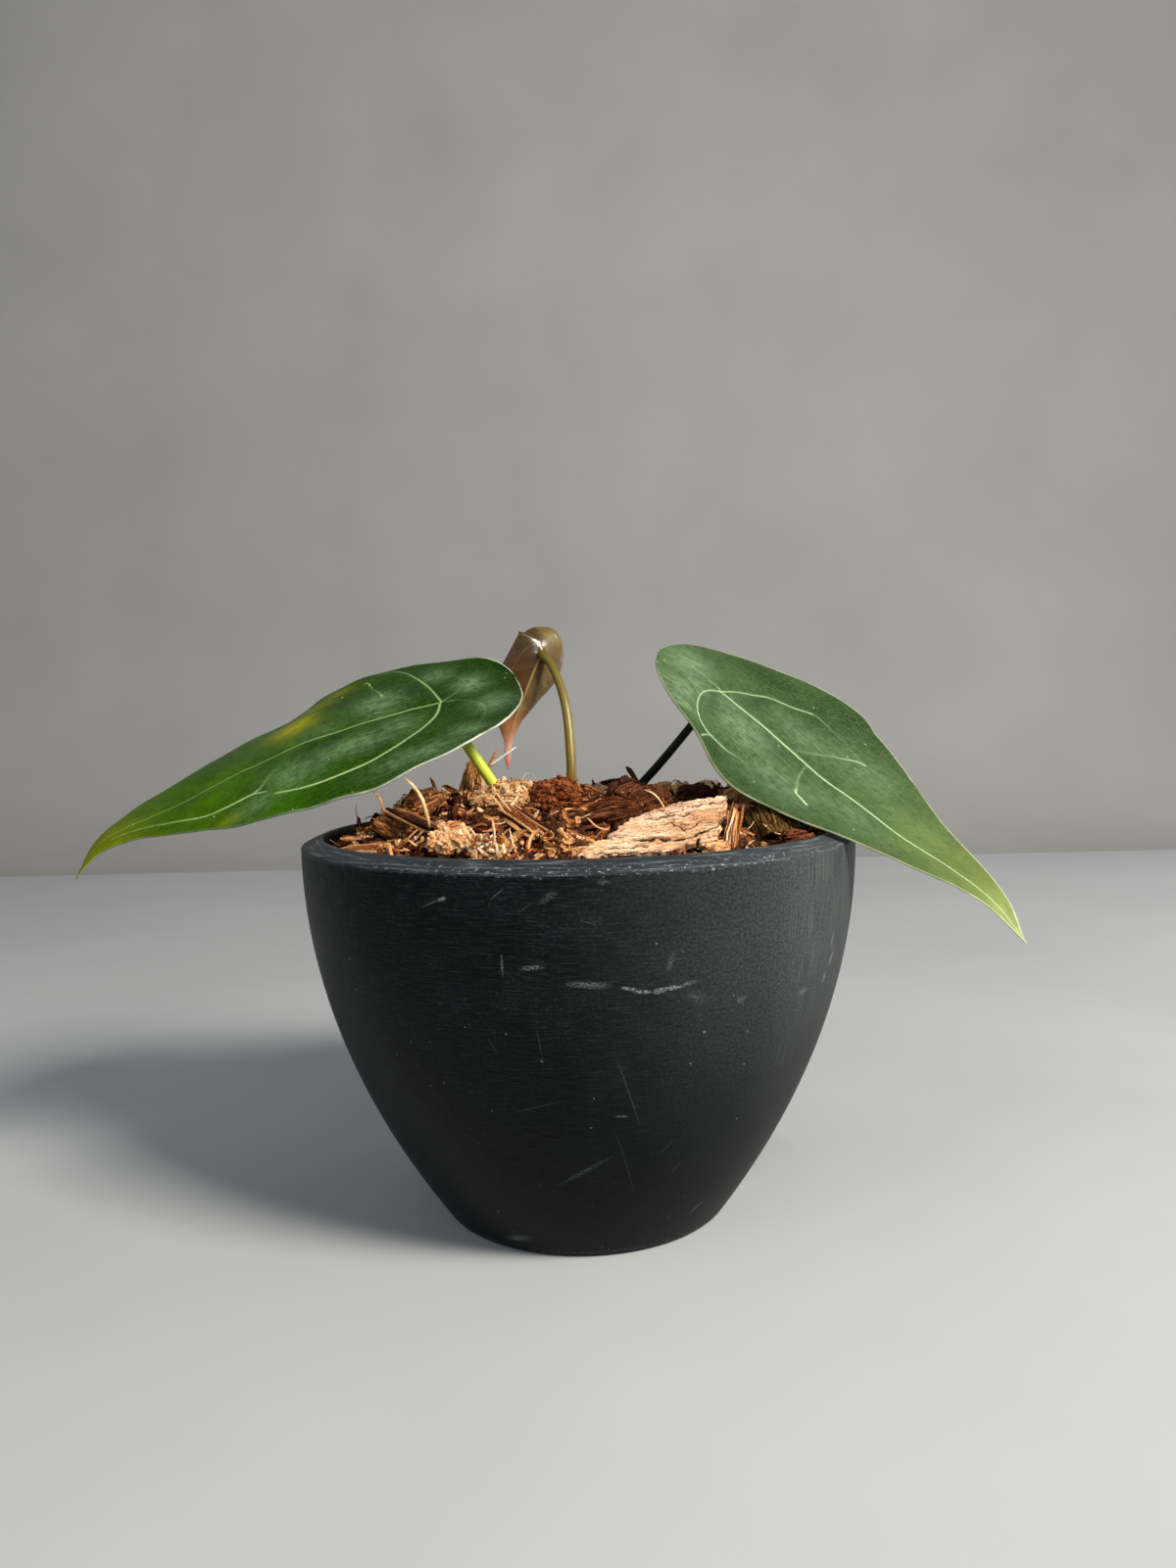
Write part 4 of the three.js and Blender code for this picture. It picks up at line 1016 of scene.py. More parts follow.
def left_rim(s, a, edge):
    """White and clear round the base lobe and along the near edge, a faint thread beyond."""
    if s < 0.2:
        return thread(0.5, 1.0, edge, s, a, 1)
    if a > 0:
        return thread(0.22, 0.25, edge, s, a, 2)
    fading = max(0.25, 1 - max(0, s - 0.3) * 2.6)
    return thread(0.12 + 0.17 * fading, fading * 0.85, edge, s, a, 3)


def right_rim(s, a, edge):
    """A cream thread along the far edge and the base, fainter along the near edge."""
    if a > 0:
        return thread(0.34, 0.45 if s < 0.85 else 0.75, edge, s, a, 5)
    return thread(0.42, 0.75, edge, s, a, 6)


def new_rim(s, a, edge):
    return thread(0.35, 0.3, edge, s, a, 7)


def make_leaves():
    left_skin = leaf_skin(
        "leathery_leaf",
        [(0.0, "102a06"), (1.0, "584e06"), (0.3, "1e4002"), (0.5, "2c5400"), (0.72, "3c6200"),
         (0.9, "4e6800")], "86a47c", "a09e04", "0a2600", "c4e49c", "5c8c04", "e8f0d8", 0.34, 0.5,
        0.11)
    right_skin = leaf_skin(
        "velvety_leaf",
        [(0.0, "425c34"), (1.0, "f0eaac"), (0.35, "364e26"), (0.6, "40592a"), (0.85, "6b7e42"),
         (0.955, "c4cc7c")], "8c9f80", "76883c", "183408", "cbe6b4", "7a9a64", "e0e0bc", 0.5, -0.6,
        0.18, 0.04)
    new_skin = leaf_skin(
        "young_bronze_leaf",
        [(0.0, "6b4a22"), (1.0, "b05a52"), (0.3, "704722"), (0.6, "7c4f28"), (0.8, "96624a"),
         (0.9, "b06a5a")], "9a8560", "84602f", "4a300f", "c2a06a", "8d6a3c", "c59a74", 0.3, 0.5)
    green_back = leaf_underside(
        "leaf_underside", [(0.0, "6d8f58"), (1.0, "a5b45c"), (0.5, "6f9450")], "b7cf93")
    bronze_back = leaf_underside(
        "young_leaf_underside",
        [(0.0, "4a3200"), (1.0, "d0525c"), (0.25, "3a2400"), (0.55, "583204"), (0.76, "b87c52"),
         (0.86, "f2b6a6")], "b49460", "7c6a3e", 0.27, 0.85, 0.1, 0.03)
    leaves = {}
    leaves["left"] = make_blade(
        "leaf_blade_left", LEFT_BLADE, LEFT_VEINS,
        side_veins(LEFT_JUNCTION, 9, 0.16, 0.9, 0.35),
        left_skin, green_back, "leaf_left", (100, 190), 0.62, (0.42, 0.1, 0.04), left_rim,
        tints_of(LEFT_BLADE, LEFT_PAINTED_SHEEN, LEFT_RIPE, LEFT_DEEP), 0.5)
    leaves["right"] = make_blade(
        "leaf_blade_right", RIGHT_BLADE, RIGHT_VEINS,
        side_veins(RIGHT_JUNCTION, 9, 0.16, 0.9, 0.3),
        right_skin, green_back, "leaf_right", (96, 180), 0.62, (0.36, 0.09, 0.03),
        right_rim, tints_of(RIGHT_BLADE, RIGHT_PAINTED_SHEEN, RIGHT_RIPE, RIGHT_DEEP), 0.2)
    leaves["new"] = make_blade(
        "leaf_blade_new", NEW_BLADE, NEW_VEINS,
        side_veins(NEW_JUNCTION, 7, 0.14, 0.85, 0.1),
        new_skin, bronze_back, "leaf_new", (48, 110), 0.4, (0.12, 0.3, 0.08), new_rim,
        lambda s, a, here: (new_thin_and_lit_side(s, a), 0, 0), 0.1)
    return leaves


# Stalks

def make_stalk(name, points, radii, blade_values, junction, skin, slot):
    """A round stalk that thickens into a knuckle where it meets its blade."""
    path = Path(points, 120)
    rod = rod_template(28, 90)
    bm = bmesh.new()
    placed = bm.verts.layers.float_vector.new("stalk_place")
    swell_from = 1 - 5.5 / path.length

    def place(co):
        share = co.z
        point, _, side, up = path.at(share)
        radius = radii[0] + (radii[1] - radii[0]) * share
        knuckle = max(0, (share - swell_from) / (1 - swell_from))
        radius *= 1 + 0.22 * math.sin(math.pi * min(1, knuckle * 1.1)) ** 2
        angle = math.atan2(co.y, co.x)
        groove = 1 - 0.05 * math.exp(-(angle / 0.35) ** 2)
        flute = 1 + 0.012 * math.sin(angle * 7)
        across = Vector((co.x, co.y))
        if across.length < 1e-6:
            return point
        across = across.normalized() * radius * groove * flute
        return point + side * across.x + up * across.y

    before = [(v.co.x, v.co.y, v.co.z) for v in rod.vertices]
    added = stamp(bm, rod, place)
    for vert, (x, y, z) in zip(added, before):
        vert[placed] = (math.atan2(y, x) * radii[0], z * path.length, z)
    blade = Blade(blade_values)
    middle, _, _, above = blade.axes(junction)
    if above.dot(path.points[-1] - path.points[-8]) < 0:
        above = -above
    geometry = list(bm.verts) + list(bm.edges) + list(bm.faces)
    cut = bmesh.ops.bisect_plane(bm, geom=geometry, plane_co=middle - above * 0.05,
                                 plane_no=above, clear_outer=True)
    rims = [e for e in cut["geom_cut"] if isinstance(e, bmesh.types.BMEdge)]
    bmesh.ops.holes_fill(bm, edges=rims)
    finished(name, bm, [skin], slot, [name])


def make_stalks():
    make_stalk("petiole_left", LEFT_STALK, (1.45, 1.25), LEFT_BLADE, LEFT_JUNCTION,
               stalk_skin("fleshy_stalk_lime", [(0.0, "d2d552"), (1.0, "8fc22c"),
                                                (0.35, "dfe24a"), (0.7, "c4da3c")]),
               "petiole_left")
    make_stalk("petiole_right", RIGHT_STALK, (1.1, 0.95), RIGHT_BLADE, RIGHT_JUNCTION,
               stalk_skin("fleshy_stalk_olive", [(0.0, "161904"), (1.0, "2c350c"),
                                                 (0.5, "1a1e04")], 0.5, 0.1), "petiole_right")
    make_stalk("petiole_new", NEW_STALK, (1.42, 1.0), NEW_BLADE, NEW_JUNCTION,
               stalk_skin("fleshy_stalk_bronze", [(0.0, "7a5a10"), (1.0, "5a4e0c"),
                                                  (0.5, "84702a")]), "petiole_new")


# Husk and bark

# How fine the surfaces of the pieces are, in mm
FRONT_VOXEL = 0.36
BACK_VOXEL = 0.6
BARK_VOXEL = 0.26
MIX_VOXEL = 1.3
# The mix is coarse below the first height and fine above the second, inside a radius
MIX_HIDDEN = 83
MIX_SHOWN = 85.5
MIX_MOUTH = 57.5

SLOT_BY_COLOUR = {"orange": "husk_orange", "red": "husk_red", "dark": "husk_dark",
                  "pale": "husk_pale"}
# Crumbly pieces: how many crumbs cover them, their size, how unlike their tones are, and
# how many strands lie over them
CRUMBLY = {"husk_clump_left": (130, (0.5, 1.3), 1.0, 330),
           "husk_block_red": (460, (0.45, 0.95), 0.6, 26),
           "pith_clump": (300, (1.0, 2.1), 0.45, 20),
           "husk_round_dark": (50, (0.5, 1.2), 0.8, 50)}
# Splintery pieces and heaps of short torn shreds: how many strands each has
SPLINTERY = {"splinter_bundle": 46, "splinter_long": 10, "splinter_flat_left": 54,
             "stick_orange": 24}
SHREDDED = {"splinter_rim_centre": 120, "husk_rim_left": 130, "husk_rim_far_left": 110}
CHIP_COLOURS = {
    "husk_clump_left": "orange", "husk_block_red": "red", "husk_round_dark": "dark",
    "pith_clump": "pale", "splinter_bundle": "orange", "splinter_long": "red",
    "splinter_flat_left": "pale", "husk_red_left": "orange", "husk_dark_left": "dark",
    "chip_upright": "pale", "husk_dark_right": "dark", "husk_fibrous_centre": "orange",
    "husk_mid_right": "red", "husk_back_dark": "dark", "stick_orange": "orange",
    "chip_right_high": "pale", "husk_right_olive": "dark", "chip_right_low": "pale",
    "husk_rim_right": "red", "splinter_rim_centre": "orange", "husk_rim_left": "pale",
    "husk_rim_far_left": "orange",
}
for number in range(1, 14):
    CHIP_COLOURS[f"husk_back_{number}"] = ("dark", "orange", "red", "pale")[(number - 1) % 4]
# Pieces whose own skin differs from the others of their slot
OWN_SKIN = {"husk_clump_left": "tan", "husk_dark_left": "brown", "husk_right_olive": "olive",
            "husk_round_dark": "umber", "splinter_long": "brown", "husk_red_left": "brown",
            "husk_back_4": "pale", "husk_back_2": "pale", "husk_back_5": "umber",
            "husk_back_12": "brown", "husk_back_11": "brown", "stick_orange": "pale",
            "husk_fibrous_centre": "umber", "chip_upright": "tan", "husk_mid_right": "umber",
            "husk_rim_right": "umber"}
# How far the strands of a splintery piece fan out from one another, in mm
RAGGED = {"splinter_flat_left": 0.7, "stick_orange": 0.5}
# Pieces whose fibres run across their longest side, and ones left unbroken
CROSS_GRAIN = {"husk_right_olive"}
UNBROKEN = {"chip_upright"}
# Pieces on which nothing loose has come to rest
BARE = {"bark_plate_upper", "bark_plate_lower", "splinter_bundle", "pith_clump", "stick_orange",
        "husk_fibrous_centre", "husk_clump_left", "husk_block_red", "splinter_flat_left",
        "splinter_long", "chip_upright", "husk_right_olive", "husk_mid_right",
        "husk_dark_right", "husk_red_left", "splinter_rim_centre", "husk_rim_left",
        "husk_back_2", "husk_back_4", "husk_back_5"}


def husk_mesh():
    """An empty mesh that keeps each point's place in the grain, its depth and its tone."""
    bm = bmesh.new()
    bm.verts.layers.float_vector.new("grain")
    bm.verts.layers.float.new("hollow")
    bm.verts.layers.float.new("tone")
    return bm


def mark_grain(bm, middle, axes, hollows, shift):
    """Keeps each point's place along the grain, across it and up, and how deep it lies."""
    grain = bm.verts.layers.float_vector["grain"]
    hollow = bm.verts.layers.float["hollow"]
    for vert, depth in zip(bm.verts, hollows):
        away = vert.co - middle
        vert[grain] = (away.dot(axes[0]) + shift, away.dot(axes[1]), away.dot(axes[2]) + shift)
        vert[hollow] = depth


def chisel(bm, middle, axes, reach, draw, count):
    """Breaks flat faces onto a rounded piece, most of them along its grain."""
    for _ in range(count):
        angle = draw.uniform(0, math.tau)
        way = (axes[0] * draw.uniform(-0.35, 0.35) + axes[1] * math.cos(angle)
               + axes[2] * math.sin(angle)).normalized()
        far = max((v.co - middle).dot(way) for v in bm.verts)
        face = far - min(reach) * draw.uniform(0.12, 0.4)
        for vert in bm.verts:
            beyond = (vert.co - middle).dot(way) - face
            if beyond > 0:
                vert.co -= way * beyond


def roughen(bm, middle, axes, seed, fibre, crumb, lump):
    """Pushes the points of a husk piece in and out: ridges along the grain, crumbs and
    lumps. Returns how deep each point then lies in a groove, from 0 to 1."""
    bm.normal_update()
    normals = [v.normal.copy() for v in bm.verts]
    hollows = []
    shift = Vector((seed * 7.1, seed * 3.3, seed * 1.7))
    for vert, normal in zip(bm.verts, normals):
        away = vert.co - middle
        place = Vector((away.dot(axes[0]), away.dot(axes[1]), away.dot(axes[2]))) + shift
        ridge = 1 - 2 * abs(noise.noise(Vector((place.x * 0.1, place.y * 0.95, place.z * 0.95))))
        split = noise.noise(Vector((place.x * 0.07, place.y * 0.4, place.z * 0.4)))
        cell = noise.voronoi(place * 1.05)[0]
        bead = min(1, (cell[1] - cell[0]) * 2.2)
        broad = noise.noise(place * 0.22)
        out = fibre * (ridge - 0.6 + 1.2 * split) + crumb * (bead - 0.6) + lump * broad
        vert.co += normal * out
        deep = fibre * (0.5 - ridge - 1.2 * split) + crumb * (0.45 - bead)
        hollows.append(min(1, max(0, deep / max(fibre + crumb, 0.01) * 1.5)))
    return hollows


def inside_mouth(co):
    """Keeps a point that is no higher than the brim inside the pot's mouth."""
    reach = math.hypot(co.x, co.y)
    if reach > CLEAR_REACH and co.z < BRIM_TOP:
        return Vector((co.x * CLEAR_REACH / reach, co.y * CLEAR_REACH / reach, co.z))
    return co


def lay_strand(bm, rods, points, radius, flat, draw, blunt=0.35, ragged=0.35, tone=None):
    """One split strand or fibre along a path, thinner at its ends, with a tone of its own."""
    path = Path(points, 16)
    shift = draw.uniform(0, 90)
    own_tone = draw.uniform(-1, 1) if tone is None else tone

    def place(co):
        point, _, side, up = path.at(co.z)
        uneven = 1 + ragged * noise.noise(Vector((co.z * path.length * 0.7 + shift, co.x, co.y)))
        size = radius * uneven * min(1, blunt + 5 * min(co.z, 1 - co.z))
        return inside_mouth(point + side * co.x * size + up * co.y * size * flat)

    rows = [tuple(v.co) for v in rods.vertices]
    added = stamp(bm, rods, place)
    grain = bm.verts.layers.float_vector["grain"]
    tones = bm.verts.layers.float["tone"]
    for vert, (x, y, z) in zip(added, rows):
        vert[grain] = (z * path.length + shift, x * radius + shift, y * radius)
        vert[tones] = own_tone


def lay_crumb(bm, bits, middle, turn, shape, draw, rough=0.3, vary=1.0):
    """One broken crumb, with a tone of its own."""
    shift = Vector((draw.uniform(0, 90), draw.uniform(0, 90), draw.uniform(0, 90)))
    own_tone = draw.uniform(-1, 1) * vary

    def place(co):
        bumps = noise.noise_vector(co * 2.2 + shift) * rough
        out = co.normalized() * 0.35 + co * 0.65 + bumps
        local = Vector((out.x * shape.x, out.y * shape.y, out.z * shape.z))
        return inside_mouth(middle + turn @ local)

    rows = [v.co.copy() for v in bits.vertices]
    added = stamp(bm, bits, place)
    grain = bm.verts.layers.float_vector["grain"]
    tones = bm.verts.layers.float["tone"]
    for vert, co in zip(added, rows):
        vert[grain] = (co.x * shape.x + shift.x, co.y * shape.y + shift.y, co.z * shape.z)
        vert[tones] = own_tone


def any_turn(draw):
    return Quaternion((draw.gauss(0, 1), draw.gauss(0, 1), draw.gauss(0, 1), draw.gauss(0, 1))
                      ).normalized()


def half_reach(verts, middle, axes):
    """How far a shape reaches from its middle along each of its directions."""
    return [max(abs((v.co - middle).dot(axis)) for v in verts) for axis in axes]


def make_splinters(bm, count, middle, axes, reach, fan, draw, rods):
    """A bundle of split strands that fills a piece's length, width and thickness, dark ones
    deep in it as painted shade and lighter ones outside."""
    for i in range(count):
        turn = i * 2.4
        out = math.sqrt((i + 0.5) / count)
        across, lift = math.cos(turn) * out, math.sin(turn) * out
        radius = max(math.sqrt(reach[1] * reach[2] / count) * 1.1, 0.2) * draw.uniform(0.6, 1.3)
        ends = (-reach[0] * draw.uniform(0.55, 1), reach[0] * draw.uniform(0.55, 1.02))
        apart = (draw.uniform(-fan, fan), draw.uniform(-fan, fan) * 0.6)
        points = []
        for k in range(4):
            t = k / 3
            points.append(middle + axes[0] * (ends[0] + (ends[1] - ends[0]) * t)
                          + axes[1] * (across * reach[1] * 0.85 + draw.uniform(-0.25, 0.25)
                                       + apart[0] * (t - 0.5))
                          + axes[2] * (lift * reach[2] * 0.85 + draw.uniform(-0.2, 0.2)
                                       + apart[1] * (t - 0.5)))
        # Inner strands get dark tones, painted shade between the strands
        tone = draw.uniform(-1.6, -0.3) if out < 0.6 else draw.choice((-1.2, -0.5, 0.2, 0.9))
        lay_strand(bm, rods, points, radius, draw.uniform(0.35, 0.8), draw, 0.7, 0.3, tone)


def make_heap(bm, count, middle, axes, reach, draw, rods):
    """Short torn shreds piled at every angle over a piece's length and width."""
    for _ in range(count):
        along, across = draw.uniform(-0.85, 0.85), draw.uniform(-0.85, 0.85)
        foot = middle + axes[0] * along * reach[0] + axes[1] * across * reach[1]
        foot += axes[2] * draw.uniform(-0.6, 0.5) * reach[2]
        way = Vector((draw.gauss(0, 1), draw.gauss(0, 1), draw.uniform(0.0, 1.3))).normalized()
        length = draw.uniform(2.2, 6.0)
        bow = way.orthogonal().normalized() * draw.uniform(-0.2, 0.2) * length
        points = [foot - way * length * 0.4, foot + bow, foot + way * length * 0.6]
        lay_strand(bm, rods, points, draw.uniform(0.18, 0.5), draw.uniform(0.35, 0.8), draw,
                   0.7, 0.3, draw.choice((-1.3, -0.5, 0.2, 0.8, 1.2)))


def drape_strands(bm, count, core, middle, axes, reach, draw, rods):
    """Strands that lie along the grain over the outside of a piece's core."""
    for _ in range(count):
        angle = draw.uniform(0, math.tau)
        out = axes[1] * math.cos(angle) + axes[2] * math.sin(angle)
        if out.z < -0.35:
            continue
        aside = axes[2] * math.cos(angle) - axes[1] * math.sin(angle)
        aside = aside * draw.uniform(-0.6, 0.6) * min(reach[1], reach[2])
        low = draw.uniform(-1, 0.2)
        high = min(1.0, low + draw.uniform(0.6, 1.8))
        radius = draw.choice((0.12, 0.16, 0.22, 0.34))
        points = []
        for k in range(5):
            along = reach[0] * (low + (high - low) * k / 4)
            start = middle + axes[0] * along + aside + out * 25
            hit = core.ray_cast(start, -out)[0]
            if hit is not None:
                points.append(hit + out * radius * draw.uniform(0.1, 0.6))
        if len(points) > 2:
            end = points[-1] - points[-2]
            points.append(points[-1] + end.normalized() * draw.uniform(0.2, 1.6))
            lay_strand(bm, rods, points, radius, draw.uniform(0.5, 0.9), draw, 0.5)


def crust_with_crumbs(bm, count, core, middle, sizes, vary, draw, bits):
    """Crumbs all over the outside of a crumbly piece."""
    for _ in range(count):
        way = Vector((draw.gauss(0, 1), draw.gauss(0, 1), draw.gauss(0, 1))).normalized()
        if way.z < -0.4:
            continue
        hit, normal, _, _ = core.ray_cast(middle + way * 30, -way)
        if hit is None:
            continue
        size = draw.uniform(*sizes)
        shape = Vector((size, size * draw.uniform(0.6, 1), size * draw.uniform(0.5, 0.9)))
        lay_crumb(bm, bits, hit + normal * size * 0.15, any_turn(draw), shape, draw, 0.45, vary)


def make_chips(husks, rods, bits):
    """Every named husk piece: a rough core that keeps to its solid, dressed with strands
    along its grain, or with crumbs. Splintery ones are bundles of strands alone."""
    pieces = {}
    for seed, (name, colour) in enumerate(CHIP_COLOURS.items()):
        draw = random.Random(seed)
        source = node_copy(name)
        middle, axes = own_axes(source)
        reach = half_reach(source.verts, middle, axes)
        skin = husks[OWN_SKIN.get(name, colour)]
        bm = husk_mesh()
        if name in SPLINTERY or name in SHREDDED:
            source.free()
            if name in SPLINTERY:
                make_splinters(bm, SPLINTERY[name], middle, axes, reach, RAGGED.get(name, 0),
                               draw, rods)
            else:
                make_heap(bm, SHREDDED[name], middle, axes, reach, draw, rods)
            pieces[name] = finished(name, bm, [skin], SLOT_BY_COLOUR[colour], [name],
                                    smooth=False)
            continue
        behind = name.startswith("husk_back_") and name != "husk_back_dark"
        even = evened(source, BACK_VOXEL if behind else FRONT_VOXEL)
        bm.from_mesh(even)
        bpy.data.meshes.remove(even)
        if name == "pith_clump":
            bmesh.ops.scale(bm, vec=(0.82, 0.82, 0.82), verts=bm.verts,
                            space=Matrix.Translation(-middle))
        crumbly = name in CRUMBLY
        if name in CROSS_GRAIN:
            axes = [axes[1], axes[0], axes[2]]
            reach = [reach[1], reach[0], reach[2]]
        if name not in UNBROKEN:
            chisel(bm, middle, axes, reach, draw, 5 if crumbly else 9)
        roughness = (0.15, 0.5, 0.8) if crumbly else (0.75, 0.1, 0.4)
        mark_grain(bm, middle, axes, roughen(bm, middle, axes, seed, *roughness), seed * 5.0)
        for vert in bm.verts:
            vert.co = inside_mouth(vert.co)
        core = BVHTree.FromBMesh(bm)
        if crumbly:
            count, sizes, vary, strands = CRUMBLY[name]
            crust_with_crumbs(bm, count, core, middle, sizes, vary, draw, bits)
            drape_strands(bm, strands, core, middle, axes, reach, draw, rods)
        else:
            drape_strands(bm, 30 if behind else 110, core, middle, axes, reach, draw, rods)
        pieces[name] = finished(name, bm, [skin], SLOT_BY_COLOUR[colour], [name], smooth=False)
    return pieces


# Long cracks in the bark's shown face, each as x and z in mm and its half width
BARK_CRACKS = [
    ([(10.2, 92.9), (13.1, 92.6), (17.1, 92.5), (20.0, 92.3), (23.0, 92.8), (26.5, 93.7),
      (30.3, 95.1)], 0.26),
    ([(13.4, 96.6), (16.0, 96.1), (18.9, 96.6), (21.9, 96.5), (24.2, 97.0)], 0.13),
    ([(15.9, 94.7), (19.1, 95.3), (21.6, 94.0), (23.4, 94.5), (25.6, 95.7)], 0.11),
    ([(22.6, 97.8), (26.8, 98.5), (29.9, 98.9), (32.7, 100.0)], 0.17),
    ([(3.2, 90.8), (7.1, 90.7), (11.0, 90.3), (15.5, 90.4)], 0.2),
    ([(4.6, 91.8), (10.1, 91.5), (14.0, 91.6)], 0.13),
]


# The slanting plane along which the plates' right end has broken off: direction and distance
BROKEN_END = (Vector((0.929, 0, -0.37)), -7.87)


def make_bark(bark):
    """The two plates: terraced where thin layers have split away, cracked along the grain,
    and ragged at the edges, with a painted shadow along the seam where the upper one
    rests on the lower."""
    pieces = {}
    upper = None
    for seed, name in enumerate(("bark_plate_upper", "bark_plate_lower")):
        source = node_copy(name)
        middle, axes = own_axes(source)
        bm = husk_mesh()
        even = evened(source, BARK_VOXEL)
        bm.from_mesh(even)
        bpy.data.meshes.remove(even)
        bm.normal_update()
        flat_places = numpy.array([(v.co.x + 0.25 * noise.noise(v.co * 0.9),
                                    v.co.z + 0.35 * noise.noise(v.co * 0.7)) for v in bm.verts])
        cracked = numpy.zeros(len(bm.verts))
        for line, width in BARK_CRACKS:
            away, share = distances(flat_places, line)
            taper = numpy.clip(numpy.minimum(share, 1 - share) * 6, 0.3, 1)
            cracked = numpy.maximum(cracked, numpy.clip(1.5 - away / (width * taper * 0.8), 0, 1))
        hollows = []
        normals = [v.normal.copy() for v in bm.verts]
        for vert, normal, slit in zip(bm.verts, normals, cracked):
            away = vert.co - middle
            place = Vector((away.dot(axes[0]), away.dot(axes[1]), 0)) + Vector((seed * 40, 9, 0))
            layer = noise.noise(Vector((place.x * 0.1, place.y * 0.3, 2)))
            layer += 0.45 * noise.noise(Vector((place.x * 0.35, place.y * 1.2, 7)))
            terrace = round(layer * 3.2) / 3.2
            crack = abs(noise.noise(Vector((place.x * 0.07, place.y * 0.7, 5))))
            crack = max(0, 1 - crack / 0.03) * 0.7
            cross = abs(noise.noise(Vector((place.x * 0.3, place.y * 0.12, 11))))
            cross = max(0, 1 - cross / 0.015) * 0.4
            depth = max(crack, cross, slit)
            face = abs(normal.dot(axes[2]))
            out = (terrace * 0.8 - depth * 0.55) * face
            ragged = noise.noise(place * 0.8) * 0.9 + noise.noise(place * 0.25) * 1.1
            # A painted shadow on the lower plate, along the seam under the upper one
            seam = 0
            if upper:
                gap = upper.find_nearest(vert.co)[3]
                seam = max(0, 1 - gap / 0.9)
            vert.co += normal * out
            vert.co += (normal - axes[2] * normal.dot(axes[2])) * ragged * (1 - face)
            beyond = vert.co.dot(BROKEN_END[0]) - BROKEN_END[1] - 0.8 * noise.noise(place * 0.6)
            if beyond > 0:
                vert.co -= BROKEN_END[0] * beyond
            edge = (1 - face) * 0.35
            hollows.append(min(1, max(depth, seam) + edge))
        mark_grain(bm, middle, axes, hollows, seed * 30.0)
        for vert in bm.verts:
            vert.co = inside_mouth(vert.co)
        if not upper:
            upper = BVHTree.FromBMesh(bm)
        pieces[name] = finished(name, bm, [bark], "bark", [name], smooth=False)
    return pieces


# Hollows between the pieces on the mound, as x and y, radius and depth in mm
HOLLOWS = [(-6, -24, 6, 3.2), (3, -40, 5, 2.6), (-19, -27, 5, 2.6), (-15, -44, 4, 2.2),
           (25, -14, 6, 2.5), (38, -36, 5, 2.2), (35, -20, 5, 2.6), (-30, -36, 4, 2.2),
           (-44, -32, 4, 1.6), (1, -18, 5, 2.4), (-31, -14, 6, 2.4)]


def make_mix(mix_skin):
    """The filling itself, with a crumbly top."""
    bm = husk_mesh()
    even = evened(node_copy("potting_mix"), MIX_VOXEL)
    bm.from_mesh(even)
    bpy.data.meshes.remove(even)
    below = [v for v in bm.verts if v.co.z < MIX_HIDDEN]
    hidden = [e for e in bm.edges if max(v.co.z for v in e.verts) < MIX_HIDDEN]
    bmesh.ops.dissolve_limit(bm, angle_limit=math.radians(15), verts=below, edges=hidden)
    bmesh.ops.triangulate(bm, faces=[f for f in bm.faces if len(f.verts) > 4])
    top = [e for e in bm.edges if min(v.co.z for v in e.verts) > MIX_SHOWN]
    bmesh.ops.subdivide_edges(bm, edges=top, cuts=1, use_grid_fill=True, smooth=0.3)
    bmesh.ops.triangulate(bm, faces=[f for f in bm.faces if len(f.verts) > 4])
    bm.normal_update()
    normals = [v.normal.copy() for v in bm.verts]
    hollows = []
    for vert, normal in zip(bm.verts, normals):
        if vert.co.z < MIX_HIDDEN + 1:
            hollows.append(0.3)
            continue
        cell = noise.voronoi(vert.co * 0.5)[0]
        bead = min(1, (cell[1] - cell[0]) * 2)
        strand = 1 - 2 * abs(noise.noise(Vector((vert.co.x * 0.9, vert.co.y * 0.2, vert.co.z))))
        out = 0.8 * (bead - 0.6) + 0.35 * strand
        if math.hypot(vert.co.x, vert.co.y) < MIX_MOUTH:
            vert.co += normal * out
            for x, y, wide, deep in HOLLOWS:
                away = ((vert.co.x - x) ** 2 + (vert.co.y - y) ** 2) / wide ** 2
                vert.co.z -= deep * math.exp(-away)
        hollows.append(min(1, max(0, 0.9 - bead)))
    mark_grain(bm, Vector((0, 0, 90)), [Vector((0.8, 0.6, 0)), Vector((-0.6, 0.8, 0)),
                                        Vector((0, 0, 1))], hollows, 0)
    return finished("potting_mix", bm, [mix_skin], "husk_mix", ["potting_mix"])


# Loose pieces on the mix

def crumb_template(cuts):
    bm = bmesh.new()
    bmesh.ops.create_cube(bm, size=1)
    bmesh.ops.subdivide_edges(bm, edges=bm.edges, cuts=cuts, use_grid_fill=True)
    return kept_mesh(bm, "crumb")


def tree_of(pieces):
    """The faces of several pieces as one search tree in millimetres, and whose each face is."""
    places, faces, owners = [], [], []
    for name, piece in pieces.items():
        mesh = piece.data
        start = len(places)
        places += [v.co / MM for v in mesh.vertices]
        faces += [[start + i for i in p.vertices] for p in mesh.polygons]
        owners += [name] * len(mesh.polygons)
    return BVHTree.FromPolygons(places, faces), owners


class Ground:
    """What loose pieces lie on: the mix and its named pieces as one surface, away from
    places where a leaf hangs close above."""

    def __init__(self, pieces, leaves):
        self.tree, self.owners = tree_of(pieces)
        self.leaves, _ = tree_of(leaves)

    def under(self, draw, spread):
        """A landing place in the mouth, spread evenly, or None on a piece that stays bare."""
        angle = draw.uniform(0, math.tau)
        reach = spread * math.sqrt(draw.random())
        start = Vector((reach * math.cos(angle), reach * math.sin(angle), 108))
        hit, normal, face, _ = self.tree.ray_cast(start, Vector((0, 0, -1)))
        if hit is None or hit.z < 80 or self.owners[face] in BARE or normal.z < 0.1:
            return None, None
        if self.leaves.ray_cast(hit, Vector((0, 0, 1)), 7)[0] is not None:
            return None, None
        return hit, normal


